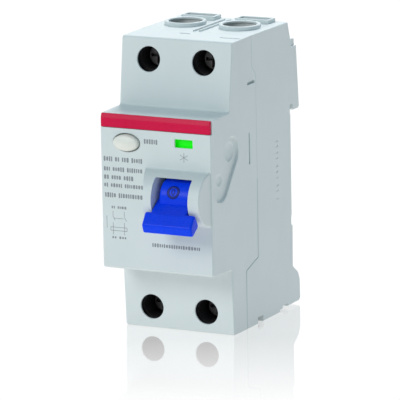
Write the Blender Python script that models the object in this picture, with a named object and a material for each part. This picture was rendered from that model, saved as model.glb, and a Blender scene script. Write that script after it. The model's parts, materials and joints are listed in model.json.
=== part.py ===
"""Two-pole residual current device for a 35 mm top-hat rail, as an assembly of its real pieces.

Frame: +X to the device's right, +Y towards the rail, +Z up. The origin is the middle of the rail seat.
The toggle is down and the contacts are open.
"""

import math

import bmesh
import bpy
from mathutils import Vector

MM = 0.001

# Gaps between pieces.
SEAM = 0.2 * MM  # between the two shells
FIT = 0.3 * MM  # round a piece that slides or drops in
SNUG = 0.15 * MM  # round a piece that is pressed or glued in
OVERRUN = 1.5 * MM  # how far a cutter passes the surface that it opens

# Housing: one module for each pole, two poles.
MODULE = 17.5 * MM
HEIGHT = 85.0 * MM
NOSE_HEIGHT = 45.0 * MM
SHOULDER_DEPTH = 40.0 * MM  # rail seat to the foot of the shoulders
NOSE_DEPTH = 12.1 * MM  # shoulders to the front panel
NOSE_DRAFT = 0.6 * MM
SHOULDER_LEAN_TOP = 2.4 * MM
SHOULDER_LEAN_BOTTOM = 1.0 * MM
WALL = 1.5 * MM

# Parting line of the shells, seen from the side.
SEAM_LOW_Y = -30.6 * MM
SEAM_MID_Y = -22.7 * MM
SEAM_TOP_Y = -25.3 * MM
SEAM_LOW_Z = -25.2 * MM
SEAM_HIGH_Z = 31.0 * MM
SEAM_STEP = 2.5 * MM

# Rail seat, hook and foot.
RAIL_HEIGHT = 35.0 * MM
RAIL_THICKNESS = 1.0 * MM
RAIL_SLOT = 1.6 * MM
HOOK_LIP = 1.6 * MM  # how far the fixed hook reaches down behind the rail
HOOK_RISE = 19.2 * MM  # rail's top edge to the hook's top
HOOK_DEPTH = 4.5 * MM
HOOK_DEPTH_LOW = 6.1 * MM
HOOK_INSET = 0.8 * MM
HOOK_INSET_HEIGHT = 2.0 * MM
HOOK_CHAMFER = 0.6 * MM
BACK_LEAN = 0.9 * MM
SEAT_RELIEF = 0.3 * MM
SEAT_HALF_HEIGHT = 15.2 * MM
LOWER_BACK_Y = 0.6 * MM
FOOT_DEPTH = 5.2 * MM
FOOT_RISE = 12.0 * MM  # bottom face to the foot's top
FOOT_SLOPE = 2.4 * MM
FOOT_LIFT = 0.7 * MM
FOOT_LIFT_Y = -8.6 * MM
FOOT_CHAMFER = 0.8 * MM

# Rail clip: a slider in the lower back.
CLIP_HALF_WIDTH = 9.0 * MM
CLIP_FRONT_Y = -5.0 * MM
CLIP_BACK_Y = 0.4 * MM
CLIP_NOSE_Y = 3.6 * MM
CLIP_DROP = 0.9 * MM  # rail's lower edge to the clip's shoulder
CLIP_TONGUE_RISE = 2.4 * MM
CLIP_TONGUE_DEPTH = 3.4 * MM
CLIP_CHAMFER = 0.4 * MM
CLIP_INSET = 1.7 * MM  # bottom face to the clip's end
CLIP_PULL_HEIGHT = 4.2 * MM
CLIP_RAMP = 1.8 * MM
CLIP_RIB = 1.2 * MM
CLIP_RIB_THICK = 1.4 * MM
CLIP_RIB_INSET = 2.0 * MM
CLIP_WALL = 1.7 * MM  # wall between the clip's channel and the inside
LEVER_SLOT_HALF_WIDTH = 3.0 * MM
LEVER_SLOT_HEIGHT = 2.2 * MM
LEVER_SLOT_LIFT = 1.4 * MM

# Mouldings on the shells: each pocket is (low, high) along the two axes of its face.
POCKET_DEPTH = 0.5 * MM
COUPLING_TOP = (-39.1 * MM, 11.0 * MM)
COUPLING_LOW = (-45.9 * MM, 2.6 * MM)
COUPLING_R = 4.6 * MM
SIDE_SLOT = ((-27.7 * MM, -27.0 * MM), (5.5 * MM, 14.7 * MM))
SIDE_DASH = ((-28.2 * MM, -23.4 * MM), (28.6 * MM, 29.4 * MM))
TOP_POCKET_LEFT = ((-3.4 * MM, -0.1 * MM), (-29.4 * MM, -28.5 * MM))
TOP_POCKET_RIGHT = ((10.6 * MM, 17.0 * MM), (-31.8 * MM, -30.9 * MM))
NOTCH_WIDTH = 2.5 * MM
FRONT_NOTCH = ((-23.6 * MM, -19.9 * MM), 1.9 * MM)
REAR_NOTCH = ((-6.9 * MM, -3.2 * MM), 1.6 * MM)
BARRIER_X = (0.6 * MM, 1.3 * MM)
BARRIER_Y = (-25.0 * MM, -5.0 * MM)
BARRIER_HEIGHT = 0.5 * MM

# Terminals.
TERMINAL_INSET = 6.3 * MM  # screw axis to the nearer end of the housing
SCREW_HEAD_R = 3.2 * MM
SCREW_HEAD_LENGTH = 2.8 * MM
SCREW_SHANK_R = 2.3 * MM
SCREW_ACCESS_GAP = 0.45 * MM
DRIVE_SLOT = 0.9 * MM
DRIVE_REACH = 2.4 * MM
DRIVE_DEPTH = 1.6 * MM
CAGE_TRAVEL = 6.4 * MM
CAGE_HALF_WIDTH = 5.2 * MM
CAGE_WALL = 1.1 * MM
CAGE_JAW = 1.8 * MM
CAGE_NUT = 2.2 * MM
CAGE_HALF_HEIGHT = 4.2 * MM
CHAMBER = 8.0 * MM  # clear depth for the conductor
PLATE_THICK = 1.3 * MM
PLATE_HALF_WIDTH = 3.8 * MM
BLOCK_FLOOR = 3.2 * MM
CABLE_Y = -14.6 * MM
CABLE_HOLE_R = 4.9 * MM
COLLAR_WALL = 1.2 * MM
COLLAR_HEIGHT = 1.2 * MM
BUSBAR_SLOT_Y = (-6.2 * MM, -3.0 * MM)
BUSBAR_SLOT_HALF_WIDTH = 4.7 * MM
BUSBAR_FRAME = 0.8 * MM

# Toggle, and the half-round boss that it turns in.
TOGGLE_INSET = 9.6 * MM  # middle of the drum to the right side
DRUM_R = 6.1 * MM
DRUM_HALF_WIDTH = 5.5 * MM
BOSS_WALL = 1.2 * MM
BOSS_LEFT = -0.3 * MM
BOSS_FOOT = 2.9 * MM  # how far the boss's left end slopes out to the panel
BOSS_STEP = 0.3 * MM  # right side to the boss's end
AXLE_R = 1.1 * MM
AXLE_BITE = (1.2 * MM, 1.8 * MM)  # how far the axle goes into the boss, left and right
STEM_REACH = 3.5 * MM  # the stem beyond the drum
STEM_HALF_HEIGHT = 2.0 * MM
GRIP_INSET = 9.0 * MM
GRIP_HALF_WIDTH = 7.8 * MM
GRIP_BACK = 2.2 * MM  # drum to the grip's rear face
GRIP_DEPTH = 4.9 * MM
GRIP_TOP = 2.0 * MM
GRIP_BOTTOM = 2.4 * MM
GRIP_CHAMFER = 0.7 * MM
TOGGLE_REST = math.radians(33)
TOGGLE_THROW = 2 * TOGGLE_REST
SPRING_WIRE_R = 0.3 * MM
TOGGLE_SPRING_R = 2.2 * MM
TOGGLE_SPRING_ROOM = 3.0 * MM

# Front panel: test button, indicator window and coloured strip.
BUTTON_INSET = 8.3 * MM  # middle of the button to the left side
BUTTON_Z = 14.5 * MM
BUTTON_HALF_WIDTH = 4.0 * MM
BUTTON_HALF_HEIGHT = 2.4 * MM
BUTTON_PROUD = 1.7 * MM
BUTTON_FLANGE = 1.0 * MM
BUTTON_FLANGE_THICK = 0.7 * MM
BUTTON_STEM_R = 1.5 * MM
BUTTON_STEM_REACH = 3.2 * MM
BLADE_DROP = 9.3 * MM  # button's axis to the blade's foot
BLADE_RISE = 2.5 * MM
BLADE_THICK = 0.4 * MM
BLADE_HALF_WIDTH = 2.0 * MM
BLADE_FOOT = 3.0 * MM
WINDOW_INSET = (11.4 * MM, 5.7 * MM)  # window's left and right edges to the right side
WINDOW_Z = (14.2 * MM, 16.65 * MM)
FLAG_TRAVEL = 3.3 * MM
FLAG_MARGIN = (1.1 * MM, 0.45 * MM)
FLAG_TAIL = 3.75 * MM  # window's lower edge to the flag's lower end
FLAG_THICK = 1.0 * MM
FOLLOWER_REACH = 22.0 * MM
FOLLOWER_SIZE = 1.2 * MM
FOLLOWER_FOOT = 4.0 * MM
STRIP_HEIGHT = 3.85 * MM
STRIP_THICK = 0.9 * MM
STRIP_PROUD = 0.1 * MM
STRIP_FOLD = (0.3 * MM, 1.3 * MM)

# Contacts, their carrier and the link rod.
CARRIER_Y = -12.0 * MM
CARRIER_Z = 4.0 * MM
CARRIER_R = 3.0 * MM
CARRIER_END = 2.0 * MM
JOURNAL_R = 1.2 * MM
CONTACT_SWING = math.radians(14)
HOLDER_HALF_WIDTH = 3.0 * MM
HOLDER_Z = (-1.5 * MM, 7.5 * MM)
HOLDER_BACK = 1.0 * MM
HOLDER_LIP = 1.4 * MM
ARM_LENGTH = 20.0 * MM
ARM_ROOT = 2.4 * MM
ARM_THICK = 1.5 * MM
ARM_HALF_WIDTH = 2.0 * MM
TIP_THICK = 1.1 * MM
TIP_HEIGHT = 4.0 * MM
TIP_HALF_WIDTH = 2.0 * MM
CONTACT_SPRING_GAP = 0.6 * MM
CRANK_R = 3.2 * MM  # link rod's pivot on the toggle
CRANK_X = (2.7 * MM, 0.9 * MM)  # carrier's crank, to the left of the rod
CRANK_HALF_WIDTH = 1.5 * MM
EYE_WALL = 1.05 * MM
EYE_SLACK = 0.95 * MM
ROD_R = 0.55 * MM
ROD_BEND = 0.5 * MM
ROD_LEG = (2.8 * MM, 3.2 * MM)

# Arc chutes and the mechanism's frame.
CHUTE_Y = (-8.6 * MM, -3.0 * MM, -2.3 * MM)  # plates' tips, their roots and the spine's back
CHUTE_HALF_WIDTH = 4.5 * MM
CHUTE_PLATES = 5
CHUTE_PITCH = 2.3 * MM
CHUTE_PLATE = 0.8 * MM
CHUTE_DROP = 7.0 * MM  # contact tips to the lowest plate
FRAME_SHEET = 1.2 * MM
FRAME_Z = (-8.0 * MM, 10.0 * MM)
FRAME_BACK_Y = -2.3 * MM
FRAME_BAR = (1.8 * MM, 5.5 * MM)
FRAME_NOSE = 5.5 * MM
FRAME_ARM_Z = (-1.6 * MM, 5.5 * MM)
FRAME_CORNER = 3.0 * MM

# Relay and trip lever.
RELAY_INSET = 8.8 * MM  # relay's axis to the left side
RELAY_SETBACK = 9.6 * MM  # relay's axis behind the front panel
RELAY_HALF_WIDTH = 6.4 * MM
RELAY_HALF_DEPTH = 5.8 * MM
RELAY_Z = (-20.8 * MM, -2.6 * MM)
RELAY_SHEET = 1.2 * MM
COIL_R = 4.8 * MM
PLUNGER_R = 1.2 * MM
PLUNGER_Z = (-12.0 * MM, -0.6 * MM)
TRIP_PIVOT_AHEAD = 18.0 * MM  # lever's pin in front of the contact carrier
TRIP_PIVOT_Z = 1.8 * MM
TRIP_PIN_R = 1.0 * MM
TRIP_LEVER_X = (6.0 * MM, 11.5 * MM)
TRIP_HUB = (3.5 * MM, 1.9 * MM)
TRIP_TAIL_GAP = 6.2 * MM
TRIP_HOOK = (1.4 * MM, 2.2 * MM)
TRIP_TAIL_HALF = 1.2 * MM
TRIP_NOSE = 2.0 * MM
TRIP_NOSE_Z = (-1.5 * MM, 0.1 * MM)

# Ring transformer, electronics and leads.
RING_Y = -22.0 * MM
RING_Z = -19.2 * MM
RING_OUTER_R = 12.4 * MM
RING_INNER_R = 6.3 * MM
RING_HEIGHT = 10.4 * MM
RING_WALL = 0.7 * MM
RING_HEADROOM = 1.0 * MM
WINDING_THICK = 1.2 * MM
WINDING_SPREAD = math.radians(100)
WINDING_STEPS = 10
BOARD_THICK = 1.0 * MM
BOARD_GAP = 0.4 * MM
BOARD_INSET = 2.3 * MM
BOARD_RIGHT = -1.0 * MM
BOARD_Z = (-20.8 * MM, 10.2 * MM)
CAPACITOR = (-11.6 * MM, 6.0 * MM, 2.6 * MM, 2.2 * MM)  # x, z, radius, length
VARISTOR = (-4.6 * MM, 0.6 * MM, 2.8 * MM, 1.8 * MM)
RESISTOR_SETBACK = 12.1 * MM
RESISTOR_Z = 14.0 * MM
RESISTOR_X = (-14.0 * MM, -5.0 * MM)
RESISTOR_R = 1.8 * MM
RESISTOR_TAIL = 1.4 * MM
RESISTOR_TAIL_R = 0.35 * MM
LEAD_R = 1.2 * MM
LEAD_CLEARANCE = 0.6 * MM  # crank's side to the lead's middle, where it bends towards the ring
WIRE_R = 0.5 * MM
ROUTE_STEPS = 4

ROUND = 28  # sides of a large round
SMALL_ROUND = 16
WIRE_ROUND = 8
COIL_STEPS = 12  # points in one turn of a spring
SHARP = math.radians(40)

WIDTH = 2 * MODULE
SIDE = WIDTH / 2
INNER_SIDE = SIDE - WALL
TOP = HEIGHT / 2
FRONT_Y = -SHOULDER_DEPTH - NOSE_DEPTH
INSIDE_FRONT = FRONT_Y + WALL
TERMINAL_Z = TOP - TERMINAL_INSET
SCREW_HOLE_R = SCREW_HEAD_R + SCREW_ACCESS_GAP
TOGGLE_X = SIDE - TOGGLE_INSET
GRIP_X = SIDE - GRIP_INSET
BOSS_R = DRUM_R + FIT + BOSS_WALL
BOSS_SLOT_X = (TOGGLE_X - DRUM_HALF_WIDTH - FIT, TOGGLE_X + DRUM_HALF_WIDTH + FIT)
BUTTON_X = -SIDE + BUTTON_INSET
WINDOW_X = (SIDE - WINDOW_INSET[0], SIDE - WINDOW_INSET[1])
RELAY_X = -SIDE + RELAY_INSET
RELAY_Y = FRONT_Y + RELAY_SETBACK
TRIP_PIVOT_Y = CARRIER_Y - TRIP_PIVOT_AHEAD
LIP_BOTTOM = RAIL_HEIGHT / 2 - HOOK_LIP
HOOK_TOP = RAIL_HEIGHT / 2 + HOOK_RISE
FOOT_TOP = -TOP + FOOT_RISE
CLIP_TOP = -RAIL_HEIGHT / 2 - CLIP_DROP
CLIP_BOTTOM = -TOP + CLIP_INSET
CLIP_TONGUE_Y = RAIL_THICKNESS + FIT
CLIP_ROOM_Y = CLIP_FRONT_Y - FIT - CLIP_WALL  # inner face of the wall in front of the clip
CLIP_ROOM_Z = CLIP_TOP + CLIP_TONGUE_RISE + CLIP_TONGUE_DEPTH - SNUG
PLATE_BACK = CABLE_Y - CHAMBER / 2  # rear face of the terminal plates
PLATE_FRONT = PLATE_BACK - PLATE_THICK
CAGE_BACK = PLATE_BACK + CHAMBER + CAGE_JAW
CAGE_FRONT = PLATE_FRONT - FIT - CAGE_NUT
HEAD_BACK = CAGE_FRONT - CAGE_TRAVEL - FIT
HEAD_FRONT = HEAD_BACK - SCREW_HEAD_LENGTH
BLOCK_INNER = TERMINAL_Z - CAGE_HALF_HEIGHT - BLOCK_FLOOR
BLOCK_OUTER = TOP - WALL - FIT
CRANK_LENGTH = CRANK_R * math.sin(TOGGLE_THROW / 2) / math.sin(CONTACT_SWING / 2)
CONTACT_Z = (CARRIER_Z + ARM_LENGTH - TIP_HEIGHT, CARRIER_Z + ARM_LENGTH)
BOARD_BACK = INSIDE_FRONT + BOARD_GAP + BOARD_THICK
POLES = (("left", -MODULE / 2), ("right", MODULE / 2))
ENDS = (("top", 1), ("bottom", -1))
AXES = {"X": (1, 2, 0), "Y": (0, 2, 1), "Z": (0, 1, 2)}  # in-plane axes, then the axis itself

SEAM_LINE = [
    (SEAM_LOW_Y, -TOP),
    (SEAM_LOW_Y, SEAM_LOW_Z),
    (SEAM_MID_Y, SEAM_LOW_Z + SEAM_STEP),
    (SEAM_MID_Y, SEAM_HIGH_Z),
    (SEAM_TOP_Y, SEAM_HIGH_Z + SEAM_STEP),
    (SEAM_TOP_Y, TOP),
]
FRONT_LINE = [
    (SEAM_TOP_Y, TOP),
    (-SHOULDER_DEPTH + SHOULDER_LEAN_TOP, TOP),
    (-SHOULDER_DEPTH, (NOSE_HEIGHT + NOSE_DRAFT) / 2),
    (FRONT_Y, NOSE_HEIGHT / 2),
    (FRONT_Y, -NOSE_HEIGHT / 2),
    (-SHOULDER_DEPTH, -NOSE_HEIGHT / 2 - NOSE_DRAFT),
    (-SHOULDER_DEPTH + SHOULDER_LEAN_BOTTOM, -TOP),
    (SEAM_LOW_Y, -TOP),
]
BACK_LINE = [
    (SEAM_LOW_Y + SEAM, -TOP),
    (FOOT_LIFT_Y, -TOP),
    (FOOT_LIFT_Y, -TOP + FOOT_LIFT),
    (FOOT_DEPTH - FOOT_CHAMFER, -TOP + FOOT_LIFT),
    (FOOT_DEPTH, -TOP + FOOT_LIFT + FOOT_CHAMFER),
    (FOOT_DEPTH, FOOT_TOP - 2 * FOOT_SLOPE),
    (FOOT_DEPTH - FOOT_SLOPE / 2, FOOT_TOP - FOOT_SLOPE),
    (LOWER_BACK_Y, FOOT_TOP),
    (LOWER_BACK_Y, -RAIL_HEIGHT / 2 - 2 * FIT),
    (-SEAT_RELIEF, -RAIL_HEIGHT / 2 - FIT),
    (-SEAT_RELIEF, -SEAT_HALF_HEIGHT),
    (0, -SEAT_HALF_HEIGHT),
    (0, SEAT_HALF_HEIGHT),
    (-SEAT_RELIEF, SEAT_HALF_HEIGHT),
    (-SEAT_RELIEF, RAIL_HEIGHT / 2 + FIT),
    (RAIL_SLOT, RAIL_HEIGHT / 2 + FIT),
    (RAIL_SLOT, LIP_BOTTOM + HOOK_CHAMFER),
    (RAIL_SLOT + HOOK_CHAMFER, LIP_BOTTOM),
    (HOOK_DEPTH_LOW - HOOK_CHAMFER, LIP_BOTTOM),
    (HOOK_DEPTH_LOW, LIP_BOTTOM + HOOK_CHAMFER),
    (HOOK_DEPTH, HOOK_TOP),
    (BACK_LEAN, HOOK_TOP),
    (-BACK_LEAN, TOP),
    (SEAM_TOP_Y + SEAM, TOP),
]

PALETTE = {
    "housing": ((0.66, 0.71, 0.71), 0.45, 0.0),
    "blue_plastic": ((0.01, 0.08, 0.75), 0.3, 0.0),
    "button_plastic": ((0.75, 0.75, 0.68), 0.45, 0.0),
    "red_strip": ((0.72, 0.02, 0.06), 0.35, 0.0),
    "flag": ((0.03, 0.75, 0.12), 0.5, 0.0),
    "black_plastic": ((0.02, 0.02, 0.022), 0.55, 0.0),
    "steel": ((0.55, 0.56, 0.57), 0.35, 1.0),
    "dark_steel": ((0.12, 0.12, 0.13), 0.45, 1.0),
    "copper": ((0.72, 0.36, 0.2), 0.35, 1.0),
    "silver": ((0.83, 0.82, 0.79), 0.3, 1.0),
    "board": ((0.02, 0.25, 0.12), 0.5, 0.0),
    "component": ((0.1, 0.2, 0.55), 0.45, 0.0),
    "core": ((0.3, 0.3, 0.32), 0.5, 1.0),
    "lead": ((0.02, 0.1, 0.4), 0.5, 0.0),
}  # colour, roughness, metallic


# Shapes --------------------------------------------------------------------------------


def material(name):
    """The named finish, made once."""
    found = bpy.data.materials.get(name)
    if found:
        return found
    colour, roughness, metallic = PALETTE[name]
    found = bpy.data.materials.new(name)
    found.use_nodes = True
    shader = found.node_tree.nodes["Principled BSDF"]
    shader.inputs["Base Color"].default_value = (*colour, 1)
    shader.inputs["Roughness"].default_value = roughness
    shader.inputs["Metallic"].default_value = metallic
    return found


def build(name, shape):
    """An object from a bmesh whose faces are turned to point outwards."""
    bmesh.ops.recalc_face_normals(shape, faces=shape.faces)
    mesh = bpy.data.meshes.new(name)
    shape.to_mesh(mesh)
    shape.free()
    made = bpy.data.objects.new(name, mesh)
    bpy.context.scene.collection.objects.link(made)
    return made


def smooth(made):
    """Shades a round piece smooth and leaves its edges sharp."""
    made.data.shade_smooth()
    made.data.set_sharp_from_angle(angle=SHARP)
    return made


def prism(name, outline, axis, low, high):
    """A closed outline, given in the two axes across `axis`, extruded from low to high."""
    first, second, along = AXES[axis]
    shape = bmesh.new()
    corners = []
    for u, v in outline:
        place = Vector()
        place[first], place[second], place[along] = u, v, low
        corners.append(shape.verts.new(place))
    grown = bmesh.ops.extrude_face_region(shape, geom=[shape.faces.new(corners)])["geom"]
    shift = Vector()
    shift[along] = high - low
    moved = [item for item in grown if isinstance(item, bmesh.types.BMVert)]
    bmesh.ops.translate(shape, vec=shift, verts=moved)
    return build(name, shape)


def box(name, x, y, z):
    """A block between the low and high values of each axis."""
    corners = [(y[0], z[0]), (y[1], z[0]), (y[1], z[1]), (y[0], z[1])]
    return prism(name, corners, "X", x[0], x[1])


def ellipse(u, v, half_u, half_v, sides):
    steps = [2 * math.pi * (k + 0.5) / sides for k in range(sides)]
    return [(u + half_u * math.cos(a), v + half_v * math.sin(a)) for a in steps]


def rod(name, axis, centre, radius, span, sides=ROUND):
    """A round bar along `axis`; centre is given in the two other axes."""
    return smooth(prism(name, ellipse(*centre, radius, radius, sides), axis, *span))


def sweep(name, points, radius):
    """A round wire along a line of points, with flat ends."""
    line = [Vector(p) for p in points]
    shape = bmesh.new()
    side = (line[1] - line[0]).orthogonal()
    turns = [2 * math.pi * k / WIRE_ROUND for k in range(WIRE_ROUND)]
    rings = []
    for before, place, after in zip([line[0], *line], line, [*line[1:], line[-1]]):
        ahead = (after - before).normalized()
        side = (side - side.project(ahead)).normalized()
        up = ahead.cross(side)
        ring = [place + radius * (math.cos(a) * side + math.sin(a) * up) for a in turns]
        rings.append([shape.verts.new(p) for p in ring])
    for low, high in zip(rings, rings[1:]):
        for k in range(WIRE_ROUND):
            shape.faces.new((low[k - 1], low[k], high[k], high[k - 1]))
    shape.faces.new(rings[0])
    shape.faces.new(rings[-1])
    return smooth(build(name, shape))


def smooth_route(points):
    """Points along one smooth curve through the given ones (Catmull-Rom)."""
    ends = [Vector(p) for p in (points[0], *points, points[-1])]
    route = []
    for a, b, c, d in zip(ends, ends[1:], ends[2:], ends[3:]):
        for k in range(ROUTE_STEPS):
            t = k / ROUTE_STEPS
            line = 2 * b + (c - a) * t
            bend = (2 * a - 5 * b + 4 * c - d) * t**2 + (3 * b - a - 3 * c + d) * t**3
            route.append((line + bend) / 2)
    return [*route, ends[-1]]


def coil(radius, low, high, turns):
    """Points of a helix round the X axis."""
    count = turns * COIL_STEPS
    points = []
    for k in range(count + 1):
        turn = 2 * math.pi * k / COIL_STEPS
        points.append((low + (high - low) * k / count, radius * math.cos(turn), radius * math.sin(turn)))
    return points


def inset(points, distance):
    """An open line of (y, z) points moved sideways, to its left, by distance."""
    flat = [Vector(p) for p in points]
    runs = [(b - a).normalized() for a, b in zip(flat, flat[1:])]
    normals = [Vector((-run.y, run.x)) for run in runs]
    moved = [flat[0] + normals[0] * distance]
    for place, before, after in zip(flat[1:], normals, normals[1:]):
        middle = (before + after).normalized()
        moved.append(place + middle * (distance / middle.dot(before)))
    return [tuple(p) for p in (*moved, flat[-1] + normals[-1] * distance)]


def combine(target, others, operation):
    """Cuts or joins the other shapes into target, and removes them."""
    for other in others:
        change = target.modifiers.new(operation.lower(), "BOOLEAN")
        change.operation, change.object, change.solver = operation, other, "EXACT"
        graph = bpy.context.evaluated_depsgraph_get()
        mesh = bpy.data.meshes.new_from_object(target.evaluated_get(graph))
        target.modifiers.clear()
        old, target.data = target.data, mesh
        bpy.data.meshes.remove(old)
        bpy.data.objects.remove(other)
    return target


def cut(target, *others):
    return combine(target, others, "DIFFERENCE")


def fuse(target, *others):
    return combine(target, others, "UNION")


def span(middle, half):
    return middle - half, middle + half


def mirrored(sign, low, high):
    """A span measured from the middle, on the side that sign gives."""
    return sorted((sign * low, sign * high))


def finish(made, finish_name, parent=None):
    """Gives a piece its material and, if it moves, its joint's pivot as parent."""
    made.data.materials.clear()
    made.data.materials.append(material(finish_name))
    made.parent = parent


def pivot(name, place, turn=0.0):
    """An empty on a joint's axis; what it carries is modelled round it."""
    empty = bpy.data.objects.new(name, None)
    empty.location = place
    empty.rotation_euler.x = turn
    bpy.context.scene.collection.objects.link(empty)
    return empty


# Housing -------------------------------------------------------------------------------


def front_cover():
    """The cover: both shoulders, the nose, the toggle's boss and the openings in them."""
    shell = prism("front_cover", [*FRONT_LINE, *SEAM_LINE[1:-1]], "X", -SIDE, SIDE)
    inner = inset(FRONT_LINE, WALL)
    room = [(0, inner[0][1]), *inner, (0, inner[-1][1])]
    boss_x = (BOSS_LEFT - BOSS_FOOT, SIDE - BOSS_STEP)
    boss = rod("boss", "X", (FRONT_Y, 0), BOSS_R, boss_x, 2 * ROUND)
    behind = (FRONT_Y + WALL / 2, FRONT_Y + BOSS_R + OVERRUN)
    beside = [(boss_x[0], FRONT_Y), (BOSS_LEFT, FRONT_Y - BOSS_R), (boss_x[0], FRONT_Y - BOSS_R)]
    cut(
        boss,
        box("boss_back", span(0, WIDTH), behind, span(0, BOSS_R + OVERRUN)),
        prism("boss_slope", beside, "Z", *span(0, BOSS_R + OVERRUN)),
    )
    fuse(shell, boss)
    axle_x = (BOSS_SLOT_X[0] - AXLE_BITE[0] - SNUG, BOSS_SLOT_X[1] + AXLE_BITE[1] + SNUG)
    cut(
        shell,
        prism("room", room, "X", -INNER_SIDE, INNER_SIDE),
        box("slot", BOSS_SLOT_X, (FRONT_Y - 2 * BOSS_R, FRONT_Y), span(0, DRUM_R + SNUG)),
        rod("drum_room", "X", (FRONT_Y, 0), DRUM_R + FIT, BOSS_SLOT_X, 2 * ROUND),
        rod("axle_hole", "X", (FRONT_Y, 0), AXLE_R + SNUG, axle_x, SMALL_ROUND),
    )
    through = (FRONT_Y - OVERRUN, INSIDE_FRONT + OVERRUN)
    button = ellipse(BUTTON_X, BUTTON_Z, BUTTON_HALF_WIDTH + FIT, BUTTON_HALF_HEIGHT + FIT, ROUND)
    strip_y = (FRONT_Y - OVERRUN, FRONT_Y + STRIP_THICK)
    strip_z = (NOSE_HEIGHT / 2 - STRIP_HEIGHT - SNUG, NOSE_HEIGHT)
    cut(
        shell,
        prism("button_hole", button, "Y", *through),
        box("window", WINDOW_X, through, WINDOW_Z),
        box("strip_seat", span(0, WIDTH), strip_y, strip_z),
    )
    reach = (-SHOULDER_DEPTH - OVERRUN, -SHOULDER_DEPTH + SHOULDER_LEAN_TOP + WALL + OVERRUN)
    for _, x in POLES:
        for _, up in ENDS:
            cut(shell, rod("access", "Y", (x, up * TERMINAL_Z), SCREW_HOLE_R, reach))
    side, top = (SIDE - POCKET_DEPTH, SIDE + OVERRUN), (TOP - POCKET_DEPTH, TOP + OVERRUN)
    cut(
        shell,
        prism("coupling_pocket", coupling_outline(), "X", *side),
        box("side_slot", side, *SIDE_SLOT),
        box("side_dash", side, *SIDE_DASH),
        box("top_pocket_left", *TOP_POCKET_LEFT, top),
        box("top_pocket_right", *TOP_POCKET_RIGHT, top),
    )
    finish(shell, "housing")


def coupling_outline():
    """The slanted, round-ended pocket where a side accessory couples in."""
    high, low = Vector(COUPLING_TOP), Vector(COUPLING_LOW)
    lean = math.atan2(high.y - low.y, high.x - low.x)
    steps = SMALL_ROUND // 2
    turns = [lean - math.pi / 2 + math.pi * k / steps for k in range(steps + 1)]
    lobe = [COUPLING_R * Vector((math.cos(a), math.sin(a))) for a in turns]
    return [tuple(high + p) for p in lobe] + [tuple(low - p) for p in lobe]


def rear_base():
    """The base: rail hook, rail seat, foot, clip channel, cable entries and their collars."""
    seam = [(y + SEAM, z) for y, z in SEAM_LINE[-2:0:-1]]
    shell = prism("rear_base", [*BACK_LINE, *seam], "X", -SIDE, SIDE)
    raised = (TOP - WALL / 2, TOP + COLLAR_HEIGHT)
    frame_y = (BUSBAR_SLOT_Y[0] - BUSBAR_FRAME, BUSBAR_SLOT_Y[1] + BUSBAR_FRAME)
    for _, x in POLES:
        frame_x = span(x, BUSBAR_SLOT_HALF_WIDTH + BUSBAR_FRAME)
        collar = rod("collar", "Z", (x, CABLE_Y), CABLE_HOLE_R + COLLAR_WALL, raised)
        fuse(shell, collar, box("busbar_frame", frame_x, frame_y, raised))
    hook_y = (BACK_LEAN + FIT, HOOK_DEPTH_LOW + OVERRUN)
    hook_z = (HOOK_TOP - HOOK_INSET_HEIGHT, HOOK_TOP + OVERRUN)
    barrier_z = (TOP - WALL / 2, TOP + BARRIER_HEIGHT)
    for sign in (-1, 1):
        notch_x = mirrored(sign, SIDE - NOTCH_WIDTH, WIDTH)
        cut(shell, box("hook_inset", mirrored(sign, SIDE - HOOK_INSET, WIDTH), hook_y, hook_z))
        for y, height in (FRONT_NOTCH, REAR_NOTCH):
            cut(shell, box("notch", notch_x, y, (-TOP - OVERRUN, -TOP + height)))
        fuse(shell, box("barrier_rib", mirrored(sign, *BARRIER_X), BARRIER_Y, barrier_z))
    room = [
        (FRONT_Y, -TOP + WALL),
        (CLIP_ROOM_Y, -TOP + WALL),
        (CLIP_ROOM_Y, CLIP_ROOM_Z),
        (-WALL - SEAT_RELIEF, CLIP_ROOM_Z),
        (-WALL - SEAT_RELIEF, TOP - WALL),
        (FRONT_Y, TOP - WALL),
    ]
    cut(shell, prism("room", room, "X", -INNER_SIDE, INNER_SIDE))
    through = (TOP - WALL - OVERRUN, TOP + COLLAR_HEIGHT + OVERRUN)
    for _, x in POLES:
        for _, up in ENDS:
            cut(shell, rod("cable_hole", "Z", (x, CABLE_Y), CABLE_HOLE_R, mirrored(up, *through)))
        cut(shell, box("busbar_slot", span(x, BUSBAR_SLOT_HALF_WIDTH), BUSBAR_SLOT_Y, through))
    channel = CLIP_HALF_WIDTH + FIT
    channel_z = (-TOP - OVERRUN, CLIP_TOP + FIT)
    rib_y = (CLIP_FRONT_Y - FIT, CLIP_FRONT_Y + CLIP_RIB_THICK + FIT)
    cut(
        shell,
        box("channel", span(0, channel), (CLIP_FRONT_Y - FIT, FOOT_DEPTH + OVERRUN), channel_z),
        box("channel_groove", span(0, channel + CLIP_RIB), rib_y, channel_z),
    )
    finish(shell, "housing")


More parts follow.
